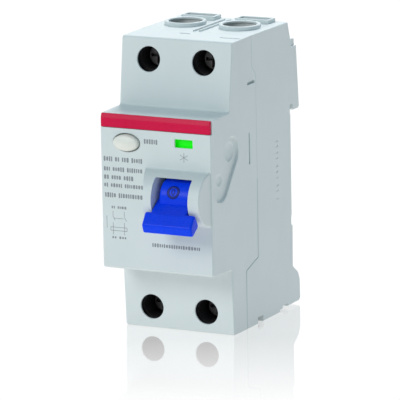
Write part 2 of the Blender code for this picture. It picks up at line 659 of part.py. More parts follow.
def rail_clip():
    """The sliding clip: a plate with side ribs, a tongue behind the rail and a slot to lever it by."""
    outline = [
        (CLIP_FRONT_Y, CLIP_BOTTOM),
        (CLIP_FRONT_Y, CLIP_TOP),
        (CLIP_TONGUE_Y, CLIP_TOP),
        (CLIP_TONGUE_Y, CLIP_TOP + CLIP_TONGUE_RISE - CLIP_CHAMFER),
        (CLIP_TONGUE_Y + CLIP_CHAMFER, CLIP_TOP + CLIP_TONGUE_RISE),
        (CLIP_NOSE_Y, CLIP_TOP - CLIP_CHAMFER),
        (CLIP_NOSE_Y, CLIP_TOP - CLIP_TONGUE_DEPTH),
        (CLIP_BACK_Y, CLIP_TOP - CLIP_TONGUE_DEPTH - CLIP_RAMP),
        (CLIP_BACK_Y, CLIP_BOTTOM + CLIP_PULL_HEIGHT + CLIP_RAMP),
        (CLIP_NOSE_Y, CLIP_BOTTOM + CLIP_PULL_HEIGHT),
        (CLIP_NOSE_Y, CLIP_BOTTOM),
    ]
    clip = prism("din_clip", outline, "X", -CLIP_HALF_WIDTH, CLIP_HALF_WIDTH)
    rib_y = (CLIP_FRONT_Y, CLIP_FRONT_Y + CLIP_RIB_THICK)
    rib_z = (CLIP_BOTTOM + CLIP_RIB_INSET, CLIP_TOP - CLIP_RIB_INSET)
    fuse(clip, box("ribs", span(0, CLIP_HALF_WIDTH + CLIP_RIB), rib_y, rib_z))
    slot_y = (CLIP_FRONT_Y - OVERRUN, CLIP_NOSE_Y + OVERRUN)
    slot_z = (CLIP_BOTTOM + LEVER_SLOT_LIFT, CLIP_BOTTOM + LEVER_SLOT_LIFT + LEVER_SLOT_HEIGHT)
    cut(clip, box("lever_slot", span(0, LEVER_SLOT_HALF_WIDTH), slot_y, slot_z))
    finish(clip, "housing", pivot("rail_clip_slide", (0, 0, 0)))


def identification_strip():
    """The plain coloured strip across the top of the nose, with a folded upper edge."""
    low, high = NOSE_HEIGHT / 2 - STRIP_HEIGHT, NOSE_HEIGHT / 2
    back, face = FRONT_Y + STRIP_THICK - SNUG, FRONT_Y - STRIP_PROUD
    fold_y, fold_z = FRONT_Y + STRIP_FOLD[0], high - STRIP_FOLD[1]
    outline = [(back, low), (face, low), (face, fold_z), (fold_y, high), (back, high)]
    finish(prism("identification_strip", outline, "X", -SIDE + SNUG, SIDE - SNUG), "red_strip")


# Front controls ------------------------------------------------------------------------


def toggle():
    """The lever with its drum, on an axle in the boss, and its torsion spring."""
    place = pivot("toggle_pivot", (0, FRONT_Y, 0), TOGGLE_REST)
    drum_x = span(TOGGLE_X, DRUM_HALF_WIDTH)
    lever = rod("toggle", "X", (0, 0), DRUM_R, drum_x, 2 * ROUND)
    back, face = -DRUM_R - GRIP_BACK, -DRUM_R - GRIP_BACK - GRIP_DEPTH
    grip = [
        (back, GRIP_TOP),
        (back, -GRIP_BOTTOM + GRIP_CHAMFER),
        (back - GRIP_CHAMFER, -GRIP_BOTTOM),
        (face + GRIP_CHAMFER, -GRIP_BOTTOM),
        (face, -GRIP_BOTTOM + GRIP_CHAMFER),
        (face + GRIP_CHAMFER, GRIP_TOP / 4),
        (back - GRIP_CHAMFER, GRIP_TOP),
    ]
    stem_y = (-DRUM_R - STEM_REACH, -DRUM_R / 2)
    fuse(
        lever,
        box("stem", drum_x, stem_y, span(0, STEM_HALF_HEIGHT)),
        prism("grip", grip, "X", *span(GRIP_X, GRIP_HALF_WIDTH)),
    )
    hole_x = (TOGGLE_X, TOGGLE_X + ROD_LEG[0] + 2 * FIT)
    cut(
        lever,
        rod("axle_hole", "X", (0, 0), AXLE_R + SNUG, span(0, WIDTH), SMALL_ROUND),
        prism("rod_slot", rod_slot_outline(), "X", *span(TOGGLE_X, 2 * ROD_R)),
        rod("crank_hole", "X", (0, CRANK_R), ROD_R + FIT, hole_x, SMALL_ROUND),
    )
    spring_x = (drum_x[1] - TOGGLE_SPRING_ROOM, drum_x[1] + OVERRUN)
    spring_room = TOGGLE_SPRING_R + SPRING_WIRE_R + FIT
    cut(lever, rod("spring_room", "X", (0, 0), spring_room, spring_x, SMALL_ROUND))
    finish(lever, "blue_plastic", place)
    axle_x = (BOSS_SLOT_X[0] - AXLE_BITE[0], BOSS_SLOT_X[1] + AXLE_BITE[1])
    finish(rod("toggle_axle", "X", (FRONT_Y, 0), AXLE_R, axle_x, SMALL_ROUND), "steel")
    inside = (spring_x[0] + SPRING_WIRE_R + FIT, drum_x[1] - SPRING_WIRE_R - FIT)
    finish(sweep("toggle_spring", coil(TOGGLE_SPRING_R, *inside, 3), SPRING_WIRE_R), "steel", place)


def rod_slot_outline():
    """What the link rod sweeps in the drum, from one end of the throw to the other."""
    reach, room = 2 * DRUM_R, 2 * ROD_R
    run = link_run()
    lean = math.atan2(run.y, run.x)
    low, high = lean - TOGGLE_REST, lean + TOGGLE_REST
    corner = Vector((0, CRANK_R))
    along_low, along_high = Vector((math.cos(low), math.sin(low))), Vector((math.cos(high), math.sin(high)))
    under, over = Vector((math.sin(low), -math.cos(low))), Vector((-math.sin(high), math.cos(high)))
    points = [
        corner + under * room,
        corner + under * room + along_low * reach,
        corner + over * room + along_high * reach,
        corner + over * room,
        corner - along_high * room,
    ]
    return [tuple(p) for p in points]


def link_start():
    """Where the link rod's front leg is at rest."""
    turn = math.pi / 2 + TOGGLE_REST
    return Vector((FRONT_Y + CRANK_R * math.cos(turn), CRANK_R * math.sin(turn)))


def link_run():
    """The link rod's way back, from the drum to the carrier's crank."""
    lean = CONTACT_SWING / 2
    end = Vector((CARRIER_Y - CRANK_LENGTH * math.sin(lean), CARRIER_Z - CRANK_LENGTH * math.cos(lean)))
    return end - link_start()


def link_rod():
    """The bent wire from the toggle's drum to the carrier's crank."""
    run = link_run()
    bend = run.normalized() * ROD_BEND
    points = [
        (TOGGLE_X + ROD_LEG[0], 0, 0),
        (TOGGLE_X + ROD_BEND, 0, 0),
        (TOGGLE_X, *bend),
        (TOGGLE_X, *(run - bend)),
        (TOGGLE_X - ROD_BEND, *run),
        (TOGGLE_X - ROD_LEG[1], *run),
    ]
    finish(sweep("link_rod", points, ROD_R), "steel", pivot("link_rod_pivot", (0, *link_start())))


def test_button():
    """The oval button, with the flange that keeps it in and the stem that presses the blade."""
    behind = INSIDE_FRONT + FIT
    flange_back = behind + BUTTON_FLANGE_THICK
    cap = ellipse(0, 0, BUTTON_HALF_WIDTH, BUTTON_HALF_HEIGHT, ROUND)
    rim = ellipse(0, 0, BUTTON_HALF_WIDTH + BUTTON_FLANGE, BUTTON_HALF_HEIGHT + BUTTON_FLANGE, ROUND)
    button = prism("test_button", cap, "Y", FRONT_Y - BUTTON_PROUD, (behind + flange_back) / 2)
    stem_y = ((behind + flange_back) / 2, behind + BUTTON_STEM_REACH)
    fuse(
        button,
        prism("flange", rim, "Y", behind, flange_back),
        rod("stem", "Y", (0, 0), BUTTON_STEM_R, stem_y, SMALL_ROUND),
    )
    finish(button, "button_plastic", pivot("test_button_slide", (BUTTON_X, 0, BUTTON_Z)))
    blade_y = behind + BUTTON_STEM_REACH + FIT
    blade_x, foot_z = span(0, BLADE_HALF_WIDTH), span(0, BLADE_THICK)
    blade = box("test_contact", blade_x, (0, BLADE_THICK), (0, BLADE_DROP + BLADE_RISE))
    fuse(blade, box("blade_foot", blade_x, (BLADE_THICK / 4, BLADE_FOOT), foot_z))
    finish(blade, "copper", pivot("test_contact_pivot", (BUTTON_X, blade_y, BUTTON_Z - BLADE_DROP)))


def test_resistor():
    """The resistor behind the test contact, with its wire tails."""
    centre = (FRONT_Y + RESISTOR_SETBACK, RESISTOR_Z)
    tail_x = (RESISTOR_X[0] - RESISTOR_TAIL, RESISTOR_X[1] + RESISTOR_TAIL)
    body = rod("test_resistor", "X", centre, RESISTOR_R, RESISTOR_X, SMALL_ROUND)
    fuse(body, rod("tails", "X", centre, RESISTOR_TAIL_R, tail_x, WIRE_ROUND))
    finish(body, "component")


def indicator_flag():
    """The flag behind the window, and its follower bar: the flag's upper part shows when it moves down."""
    front = INSIDE_FRONT + FIT
    end = front + FOLLOWER_REACH
    x = (WINDOW_X[0] - FLAG_MARGIN[0], WINDOW_X[1] + FLAG_MARGIN[0])
    z = (WINDOW_Z[0] - FLAG_TAIL, WINDOW_Z[1] + FLAG_TRAVEL + FLAG_MARGIN[1])
    bar_x, bar_top = (x[1] - FOLLOWER_SIZE, x[1]), z[0] + FOLLOWER_SIZE
    flag = box("indicator_flag", x, (front, front + FLAG_THICK), z)
    fuse(
        flag,
        box("follower", bar_x, (front + FLAG_THICK / 2, end), (z[0], bar_top)),
        box("follower_foot", bar_x, (end - FOLLOWER_SIZE, end), (z[0] - FOLLOWER_FOOT, z[0] + FIT)),
    )
    finish(flag, "flag", pivot("indicator_slide", (0, 0, 0)))


# Contacts and mechanism ----------------------------------------------------------------


def contact_carrier():
    """The shaft with its two contact holders and the crank that the link rod drives, drawn closed."""
    place = pivot("carrier_pivot", (0, CARRIER_Y, CARRIER_Z), -CONTACT_SWING)
    lean = CONTACT_SWING / 2
    crank = Vector((math.sin(lean), -math.cos(lean))) * CRANK_LENGTH
    crank_x = (TOGGLE_X - CRANK_X[0], TOGGLE_X - CRANK_X[1])
    across = Vector((crank.y, -crank.x)).normalized() * CRANK_HALF_WIDTH
    sides = [tuple(p) for p in (across, crank + across, crank - across, -across)]
    eye_r = ROD_R + EYE_SLACK
    shaft_half = INNER_SIDE - CARRIER_END
    shaft = rod("contact_carrier", "X", (0, 0), CARRIER_R, span(0, shaft_half), SMALL_ROUND)
    fuse(
        shaft,
        rod("journals", "X", (0, 0), JOURNAL_R, span(0, INNER_SIDE - FIT), SMALL_ROUND),
        prism("crank", sides, "X", *crank_x),
        rod("eye", "X", tuple(crank), eye_r + EYE_WALL, crank_x, SMALL_ROUND),
    )
    arm_y = PLATE_BACK + 2 * TIP_THICK + 4 * SNUG - CARRIER_Y
    for side, x in POLES:
        slot_y = (arm_y - SNUG, arm_y + ARM_THICK + SNUG)
        slot_z = (ARM_ROOT - SNUG, HOLDER_Z[1] + OVERRUN)
        fuse(shaft, box("holder", span(x, HOLDER_HALF_WIDTH), (arm_y - HOLDER_LIP, HOLDER_BACK), HOLDER_Z))
        cut(shaft, box("arm_slot", span(x, ARM_HALF_WIDTH + SNUG), slot_y, slot_z))
        moving_contact(side, x, arm_y, place)
        ends = (HOLDER_HALF_WIDTH + SPRING_WIRE_R + FIT, shaft_half - MODULE / 2 - SPRING_WIRE_R)
        sign = math.copysign(1, x)
        turns = coil(CARRIER_R + CONTACT_SPRING_GAP, *[x + sign * reach for reach in ends], 2)
        finish(sweep(f"contact_spring_{side}", turns, SPRING_WIRE_R), "steel", place)
    cut(shaft, rod("eye_hole", "X", tuple(crank), eye_r, span(0, WIDTH), SMALL_ROUND))
    finish(shaft, "black_plastic", place)


def moving_contact(side, x, arm_y, place):
    """One contact arm and the silver tip on its front."""
    arm_span = (arm_y, arm_y + ARM_THICK)
    arm = box(f"moving_contact_{side}", span(x, ARM_HALF_WIDTH), arm_span, (ARM_ROOT, ARM_LENGTH))
    finish(arm, "copper", place)
    tip_y, tip_z = (arm_y - SNUG - TIP_THICK, arm_y - SNUG), (ARM_LENGTH - TIP_HEIGHT, ARM_LENGTH)
    finish(box(f"moving_tip_{side}", span(x, TIP_HALF_WIDTH), tip_y, tip_z), "silver", place)


def terminal_plates():
    """The plates that the conductors are clamped to; the top ones carry the fixed contact tips."""
    far = TERMINAL_Z + CAGE_HALF_HEIGHT - 2 * FIT
    plates = (("line", (CONTACT_Z[0] - FIT, far)), ("load", (-far, RING_Z - RING_HEIGHT / 2 - 2 * OVERRUN)))
    tip_y = (PLATE_BACK + SNUG, PLATE_BACK + SNUG + TIP_THICK)
    for side, x in POLES:
        for kind, z in plates:
            name, across = f"{kind}_plate_{side}", span(x, PLATE_HALF_WIDTH)
            finish(box(name, across, (PLATE_FRONT, PLATE_BACK), z), "copper")
        finish(box(f"fixed_tip_{side}", span(x, TIP_HALF_WIDTH), tip_y, CONTACT_Z), "silver")


def arc_chutes():
    """Combs of splitter plates behind each pole's contacts."""
    tip, root, back = CHUTE_Y
    low = CONTACT_Z[1] - CHUTE_DROP
    outline = [(back, low), (back, low + CHUTE_PITCH * (CHUTE_PLATES - 1) + CHUTE_PLATE)]
    for k in reversed(range(CHUTE_PLATES)):
        bottom = low + CHUTE_PITCH * k
        outline += [(tip, bottom + CHUTE_PLATE), (tip, bottom)]
        if k:
            outline += [(root, bottom), (root, bottom - CHUTE_PITCH + CHUTE_PLATE)]
    for side, x in POLES:
        comb = prism(f"arc_chute_{side}", outline, "X", *span(x, CHUTE_HALF_WIDTH))
        finish(comb, "dark_steel")


def mechanism_frame():
    """Three cheeks on a cross bar, which carry the contact shaft and the trip lever's pin."""
    low, high = FRAME_Z
    arm_low, arm_high = FRAME_ARM_Z
    near, far = CARRIER_Y - FRAME_NOSE, TRIP_PIVOT_Y - FRAME_CORNER
    bar_depth, bar_height = FRAME_BAR
    outer = INNER_SIDE - SNUG
    heel = (near + FRAME_CORNER, low)
    short = [(FRAME_BACK_Y, low), (FRAME_BACK_Y, high), (near, high), (near, arm_low), heel]
    arm = [(near, arm_high), (far, arm_high), (far, arm_low), (near, arm_low)]
    long = [*short[:3], *arm, heel]
    bar_y = (FRAME_BACK_Y - bar_depth, FRAME_BACK_Y)
    frame = box("mechanism_frame", span(0, outer), bar_y, (low, low + bar_height))
    for shape, x in ((long, -outer), (long, -FRAME_SHEET), (short, outer - FRAME_SHEET)):
        fuse(frame, prism("cheek", shape, "X", x, x + FRAME_SHEET))
    shaft, pin = (CARRIER_Y, CARRIER_Z), (TRIP_PIVOT_Y, TRIP_PIVOT_Z)
    middle = (-FRAME_SHEET - OVERRUN, OVERRUN)
    cut(
        frame,
        rod("bearings", "X", shaft, JOURNAL_R + FIT, span(0, WIDTH), SMALL_ROUND),
        rod("middle_bearing", "X", shaft, CARRIER_R + FIT, middle, SMALL_ROUND),
        rod("pin_hole", "X", pin, TRIP_PIN_R + SNUG, span(0, WIDTH), SMALL_ROUND),
    )
    finish(frame, "steel")


def trip_lever():
    """The lever between the relay's plunger and the contact carrier, on its pin."""
    front, tail = RELAY_Y - TRIP_NOSE - TRIP_PIVOT_Y, CARRIER_Y - TRIP_TAIL_GAP - TRIP_PIVOT_Y
    hub, hub_half = TRIP_HUB
    hook, hook_top = TRIP_HOOK
    outline = [
        (front, TRIP_NOSE_Z[0]),
        (-hub, -hub_half),
        (hub, -hub_half),
        (tail, -TRIP_TAIL_HALF),
        (tail, hook_top),
        (tail - hook, hook_top),
        (tail - hook, TRIP_TAIL_HALF / 2),
        (hub, hub_half),
        (-hub, hub_half),
        (front, TRIP_NOSE_Z[1]),
    ]
    lever = prism("trip_lever", outline, "X", -TRIP_LEVER_X[1], -TRIP_LEVER_X[0])
    cut(lever, rod("pin_hole", "X", (0, 0), TRIP_PIN_R + FIT, span(0, WIDTH), SMALL_ROUND))
    finish(lever, "black_plastic", pivot("trip_pivot", (0, TRIP_PIVOT_Y, TRIP_PIVOT_Z)))
    pin_x = (-INNER_SIDE + FIT, -FIT)
    finish(rod("trip_pin", "X", (TRIP_PIVOT_Y, TRIP_PIVOT_Z), TRIP_PIN_R, pin_x, SMALL_ROUND), "steel")


def relay():
    """The relay that a fault releases: a bent yoke, a coil and a plunger."""
    x, y = span(RELAY_X, RELAY_HALF_WIDTH), span(RELAY_Y, RELAY_HALF_DEPTH)
    low, high = RELAY_Z
    inside = (low + RELAY_SHEET, high - RELAY_SHEET)
    axis, bore_r = (RELAY_X, RELAY_Y), PLUNGER_R + FIT
    window_x = span(RELAY_X, RELAY_HALF_WIDTH - RELAY_SHEET)
    window_y = span(RELAY_Y, RELAY_HALF_DEPTH + OVERRUN)
    yoke = box("relay_yoke", x, y, RELAY_Z)
    bore = rod("plunger_bore", "Z", axis, bore_r, (inside[0], high + OVERRUN), SMALL_ROUND)
    finish(cut(yoke, box("window", window_x, window_y, inside), bore), "dark_steel")
    winding = rod("relay_coil", "Z", axis, COIL_R, (inside[0] + FIT, inside[1] - FIT))
    finish(cut(winding, rod("hole", "Z", axis, bore_r, RELAY_Z, SMALL_ROUND)), "copper")
    plunger = rod("relay_plunger", "Z", (0, 0), PLUNGER_R, PLUNGER_Z, SMALL_ROUND)
    finish(plunger, "steel", pivot("plunger_slide", (*axis, 0)))


# Sensing and electronics ---------------------------------------------------------------


def transformer():
    """The ring core in its open case, with the sensing winding round the front of it."""
    low, high = span(RING_Z, RING_HEIGHT / 2)
    centre = (0, RING_Y)
    outer_r, post_r = RING_OUTER_R - RING_WALL, RING_INNER_R + RING_WALL
    case = rod("transformer_case", "Z", centre, RING_OUTER_R, (low, high))
    trough = rod("trough", "Z", centre, outer_r, (low + RING_WALL, high + OVERRUN))
    cut(trough, rod("post", "Z", centre, post_r, (low, high + 2 * OVERRUN)))
    cut(case, trough, rod("bore", "Z", centre, RING_INNER_R, (low - OVERRUN, high + OVERRUN)))
    finish(case, "black_plastic")
    core_z = (low + RING_WALL + FIT, high - RING_HEADROOM)
    core = rod("transformer_core", "Z", centre, outer_r - FIT, core_z)
    finish(cut(core, rod("middle", "Z", centre, post_r + FIT, (low, high))), "core")
    inner = RING_OUTER_R + FIT
    start = -math.pi / 2 - WINDING_SPREAD / 2
    turns = [start + WINDING_SPREAD * k / WINDING_STEPS for k in range(WINDING_STEPS + 1)]
    arc = []
    for radius, angles in ((inner + WINDING_THICK, turns), (inner, turns[::-1])):
        arc += [(radius * math.cos(a), RING_Y + radius * math.sin(a)) for a in angles]
    winding_z = (low + RING_HEADROOM, high - RING_HEADROOM)
    finish(prism("sensing_winding", arc, "Z", *winding_z), "copper")


def electronics():
    """The filter board behind the left of the panel, with its capacitor and varistor."""
    board_x = (-SIDE + BOARD_INSET, BOARD_RIGHT)
    board_y = (BOARD_BACK - BOARD_THICK, BOARD_BACK)
    finish(box("circuit_board", board_x, board_y, BOARD_Z), "board")
    for name, (x, z, radius, length) in (("filter_capacitor", CAPACITOR), ("varistor", VARISTOR)):
        reach = (BOARD_BACK + SNUG, BOARD_BACK + SNUG + length)
        finish(rod(name, "Y", (x, z), radius, reach, SMALL_ROUND), "component")


def lead(name, points, radius, finish_name):
    """A wire along a smooth curve through points given in millimetres."""
    finish(sweep(name, smooth_route([Vector(p) * MM for p in points]), radius), finish_name)


def leads():
    """The primary leads, from the contact arms through the ring to the lower plates, and two small wires."""
    pole, front, ring = MODULE / 2 / MM, FRONT_Y / MM, RING_Z / MM
    past_crank = (TOGGLE_X - CRANK_X[1] + LEAD_CLEARANCE) / MM
    for side, x in POLES:
        way = math.copysign(1, x)
        route = [
            (way * pole, -11.0, 14.4),
            (way * (pole + 0.2), -8.6, 14.0),
            (way * (pole + 2.0), -6.9, 9.0),
            (way * (pole + 3.7), -6.4, 2.0),
            (way * (pole + 4.1), -6.8, -5.0),
            (way * (pole + 2.9), -12.0, ring + 8.2),
            (way * past_crank, -19.0, ring + 7.8),
            (way * 3.1, -21.8, ring + 6.3),
            (way * 2.4, -22.0, ring + 2.2),
            (way * 2.4, -22.0, ring - 4.8),
            (way * 5.2, -22.1, ring - 7.2),
            (way * (pole + 1.6), -22.1, ring - 7.5),
        ]
        lead(f"primary_lead_{side}", route, LEAD_R, "lead")
    test_route = [
        (-3.3, front + 12.1, 14.0),
        (-2.4, front + 12.3, 14.0),
        (-1.6, front + 16.1, 14.6),
        (-1.8, -32.0, 18.0),
        (-4.4, -26.0, 20.0),
        (-6.0, -20.4, 22.0),
    ]
    winding = (RING_Y - RING_OUTER_R - FIT - WINDING_THICK) / MM
    sensor_route = [
        (-1.2, winding - 0.5, ring - 0.8),
        (-1.3, winding - 3.1, ring + 0.4),
        (-1.4, front + 8.1, ring + 3.2),
        (-1.6, BOARD_BACK / MM + 0.3, ring + 4.8),
    ]
    lead("test_lead", test_route, WIRE_R, "component")
    lead("sensor_lead", sensor_route, WIRE_R, "component")


# Terminals -----------------------------------------------------------------------------


def terminal_block(end, up):
    """The insulating block round two terminals, with screw tunnels and a wall between the poles."""
    lean = SHOULDER_LEAN_TOP if up > 0 else SHOULDER_LEAN_BOTTOM
    front = -SHOULDER_DEPTH + lean + WALL + 2 * FIT
    back = (-WALL - SEAT_RELIEF if up > 0 else CLIP_ROOM_Y) - FIT
    z = mirrored(up, BLOCK_INNER, BLOCK_OUTER)
    block = box(f"terminal_block_{end}", span(0, INNER_SIDE - FIT), (front, back), z)
    cage_y = (HEAD_BACK - FIT, CAGE_BACK + FIT)
    cage_z = mirrored(up, TERMINAL_Z - CAGE_HALF_HEIGHT - FIT, TOP + OVERRUN)
    plate_y = (PLATE_FRONT - FIT, PLATE_BACK + FIT)
    plate_z = mirrored(up, BLOCK_INNER - OVERRUN, TERMINAL_Z)
    tunnel_y = (front - OVERRUN, HEAD_BACK + OVERRUN)
    for _, x in POLES:
        cut(
            block,
            box("cage_room", span(x, CAGE_HALF_WIDTH + FIT), cage_y, cage_z),
            rod("tunnel", "Y", (x, up * TERMINAL_Z), SCREW_HOLE_R, tunnel_y),
            box("plate_slot", span(x, PLATE_HALF_WIDTH + FIT), plate_y, plate_z),
        )
        if up > 0:
            bar_z = (TERMINAL_Z - CAGE_HALF_HEIGHT, TOP)
            cut(block, box("busbar_room", span(x, BUSBAR_SLOT_HALF_WIDTH), BUSBAR_SLOT_Y, bar_z))
    finish(block, "black_plastic")


def terminal(side, x, end, up):
    """A captive screw and the cage that it pulls forward to clamp a conductor."""
    place = (x, 0, up * TERMINAL_Z)
    shank_y = (HEAD_BACK - SNUG, PLATE_FRONT - SNUG)
    screw = rod(f"terminal_screw_{end}_{side}", "Y", (0, 0), SCREW_HEAD_R, (HEAD_FRONT, HEAD_BACK))
    fuse(screw, rod("shank", "Y", (0, 0), SCREW_SHANK_R, shank_y, SMALL_ROUND))
    long, short = span(0, DRIVE_REACH), span(0, DRIVE_SLOT / 2)
    drive_y = (HEAD_FRONT - OVERRUN, HEAD_FRONT + DRIVE_DEPTH)
    cut(screw, box("drive", long, drive_y, short), box("cross_drive", short, drive_y, long))
    finish(screw, "dark_steel", pivot(f"screw_turn_{end}_{side}", place))
    name, depth, tall = f"terminal_cage_{end}_{side}", (CAGE_FRONT, CAGE_BACK), span(0, CAGE_HALF_HEIGHT)
    cage = box(name, span(0, CAGE_HALF_WIDTH), depth, tall)
    mouth = (CAGE_FRONT + CAGE_NUT, CAGE_BACK - CAGE_JAW)
    thread = (CAGE_FRONT - OVERRUN, CAGE_FRONT + CAGE_NUT + OVERRUN)
    cut(
        cage,
        box("mouth", span(0, CAGE_HALF_WIDTH - CAGE_WALL), mouth, span(0, TOP)),
        rod("thread", "Y", (0, 0), SCREW_SHANK_R + SNUG, thread, SMALL_ROUND),
    )
    finish(cage, "steel", pivot(f"cage_slide_{end}_{side}", place))


def main():
    for old in list(bpy.data.objects):
        bpy.data.objects.remove(old)
    front_cover()
    rear_base()
    rail_clip()
    identification_strip()
    toggle()
    link_rod()
    test_button()
    test_resistor()
    indicator_flag()
    contact_carrier()
    terminal_plates()
    arc_chutes()
    mechanism_frame()
    trip_lever()
    relay()
    transformer()
    electronics()
    leads()
    for end, up in ENDS:
        terminal_block(end, up)
        for side, x in POLES:
            terminal(side, x, end, up)


main()
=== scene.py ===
"""The visible surfaces of a two-pole residual current device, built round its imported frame.

Everything is in metres, in the frame's own axes: +X to the device's right, +Y towards the rail, +Z up.
"""

import json
import math

import bmesh
import bpy
import numpy as np
from bpy.props import FloatProperty, FloatVectorProperty, PointerProperty
from mathutils import Matrix, Vector


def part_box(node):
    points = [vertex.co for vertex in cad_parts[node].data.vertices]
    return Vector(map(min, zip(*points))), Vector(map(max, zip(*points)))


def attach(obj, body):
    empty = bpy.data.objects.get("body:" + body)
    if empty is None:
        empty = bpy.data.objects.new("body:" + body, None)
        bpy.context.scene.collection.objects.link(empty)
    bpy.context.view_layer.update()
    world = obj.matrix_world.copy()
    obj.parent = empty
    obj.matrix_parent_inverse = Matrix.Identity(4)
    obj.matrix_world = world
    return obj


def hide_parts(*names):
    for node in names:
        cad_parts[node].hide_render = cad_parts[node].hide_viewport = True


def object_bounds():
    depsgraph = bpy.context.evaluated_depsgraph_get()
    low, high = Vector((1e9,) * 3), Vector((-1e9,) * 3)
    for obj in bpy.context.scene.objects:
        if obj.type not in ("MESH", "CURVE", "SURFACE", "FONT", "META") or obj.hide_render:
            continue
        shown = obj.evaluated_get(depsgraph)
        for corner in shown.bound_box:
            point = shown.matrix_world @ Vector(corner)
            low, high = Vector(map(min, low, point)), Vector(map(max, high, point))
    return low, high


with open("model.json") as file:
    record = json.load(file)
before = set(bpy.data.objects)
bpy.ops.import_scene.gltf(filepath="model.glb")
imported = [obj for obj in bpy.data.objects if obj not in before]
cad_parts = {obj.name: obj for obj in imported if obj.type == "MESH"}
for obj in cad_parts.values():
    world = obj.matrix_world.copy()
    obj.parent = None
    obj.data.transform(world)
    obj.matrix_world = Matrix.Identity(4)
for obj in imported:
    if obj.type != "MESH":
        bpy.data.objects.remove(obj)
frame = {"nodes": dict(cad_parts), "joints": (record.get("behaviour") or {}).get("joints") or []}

bl_info = {
    "name": "Residual current device",
    "version": (1, 0, 0),
    "blender": (4, 5, 0),
    "location": "View3D > Sidebar > Device",
    "description": "Builds the visible surfaces of a residual current device round its frame",
    "category": "Object",
}

MM = 0.001
CAD_LOW, CAD_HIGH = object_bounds()
PIVOTS = {joint["name"]: Vector(joint["pos_m"]) for joint in frame["joints"] if "pos_m" in joint}

# Housing, as in the frame.
WALL = 1.5 * MM
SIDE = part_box("front_cover")[1].x
TOP = -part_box("front_cover")[0].z
INNER_SIDE = SIDE - WALL
NOSE_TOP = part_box("identification_strip")[1].z
FRONT_Y = PIVOTS["toggle_swing"].y
SHOULDER_Y = -40.0 * MM
LEAN_TOP, LEAN_BOTTOM = 2.4 * MM, 1.0 * MM
NOSE_DRAFT = 0.3 * MM
SEAM_LOW_Y, SEAM_MID_Y, SEAM_TOP_Y = -30.6 * MM, -22.7 * MM, -25.3 * MM
SEAM_LOW_Z, SEAM_HIGH_Z, SEAM_STEP = -25.2 * MM, 31.0 * MM, 2.5 * MM
SEAM_MARK_Z = 0.5 * MM  # level above which the parting line closes up
SEAM_MARK_RISE = 0.5 * MM
SEAM = 0.2 * MM
FIT = 0.3 * MM  # round a piece that slides
SNUG = 0.15 * MM  # round a piece that is pressed in
POLES = (("left", -SIDE / 2), ("right", SIDE / 2))
ENDS = (("top", 1), ("bottom", -1))
TERMINAL_Z = 36.2 * MM
CABLE_Y = -14.6 * MM
PAST = 1.5 * MM  # how far a cutter passes the surface that it opens
AXES = {"X": (1, 2, 0), "Y": (0, 2, 1), "Z": (0, 1, 2)}
CORNER_STEPS = 5
EDGE_STEPS = 4
TINY = 1e-6
SHARP = math.radians(32)


# Surfaces ------------------------------------------------------------------------------


def turns_back(p):
    """Whether a closed outline runs clockwise: twice its area, summed over its sides, is below zero."""
    return (p[:, 0] * np.roll(p[:, 1], -1) - np.roll(p[:, 0], -1) * p[:, 1]).sum() < 0


def directions(p):
    """At each corner: the next side's direction, the last side's, and their outward normals, last first."""
    ahead, behind = np.roll(p, -1, 0) - p, p - np.roll(p, 1, 0)
    ahead /= np.linalg.norm(ahead, axis=1)[:, None]
    behind /= np.linalg.norm(behind, axis=1)[:, None]
    return ahead, behind, np.stack([behind[:, 1], -behind[:, 0]], 1), np.stack([ahead[:, 1], -ahead[:, 0]], 1)


def outline(corners, radii, edge=TINY):
    """A closed outline whose corners are arcs that touch both their sides.

    An arc's centre is the corner moved in by its radius along both sides' normals; a hollow corner's centre is outside.
    Returns the points, their outward normals, and how much of an edge's rounding each can take.
    """
    p = np.array(corners, float)
    radius = np.broadcast_to(np.array(radii, float), len(p)).copy()
    if turns_back(p):
        p, radius = p[::-1], radius[::-1]
    ahead, behind, before, after = directions(p)
    bend = np.sign(behind[:, 0] * ahead[:, 1] - behind[:, 1] * ahead[:, 0]) * radius
    centre = p - (bend / (1 + (before * after).sum(1)))[:, None] * (before + after)
    t = np.linspace(0, 1, CORNER_STEPS + 1)[None, :, None]
    normal = (1 - t) * before[:, None] + t * after[:, None]
    normal /= np.linalg.norm(normal, axis=2)[..., None]
    points = centre[:, None] + bend[:, None, None] * normal
    give = np.repeat(np.minimum(1, radius / edge), CORNER_STEPS + 1)
    return points.reshape(-1, 2), normal.reshape(-1, 2), give


def oblong(u, v, radius, edge=TINY):
    """The softened outline of a rectangle between two spans."""
    return outline([(u[0], v[0]), (u[1], v[0]), (u[1], v[1]), (u[0], v[1])], radius, edge)


def mitred(corners, distance):
    """A closed outline moved inwards: each corner goes where its two moved sides meet."""
    p = np.array(corners, float)
    p = p[::-1] if turns_back(p) else p
    *_, before, after = directions(p)
    return p - (distance / (1 + (before * after).sum(1)))[:, None] * (before + after)


def lay(axis, u, v, level):
    """Points from two outline coordinates and a level, on the axes that they belong to."""
    points = np.empty((*np.broadcast_shapes(u.shape, v.shape, level.shape), 3))
    first, second, along = AXES[axis]
    points[..., first], points[..., second], points[..., along] = u, v, level
    return points


def linked(name, data):
    """A new object in the scene, from its mesh, light or camera."""
    made = bpy.data.objects.new(name, data)
    bpy.context.scene.collection.objects.link(made)
    return made


def surface(name, points, faces):
    """An object from points and faces, tidied."""
    mesh = bpy.data.meshes.new(name)
    mesh.from_pydata(points.reshape(-1, 3), [], faces)
    tidy(mesh)
    return linked(name, mesh)


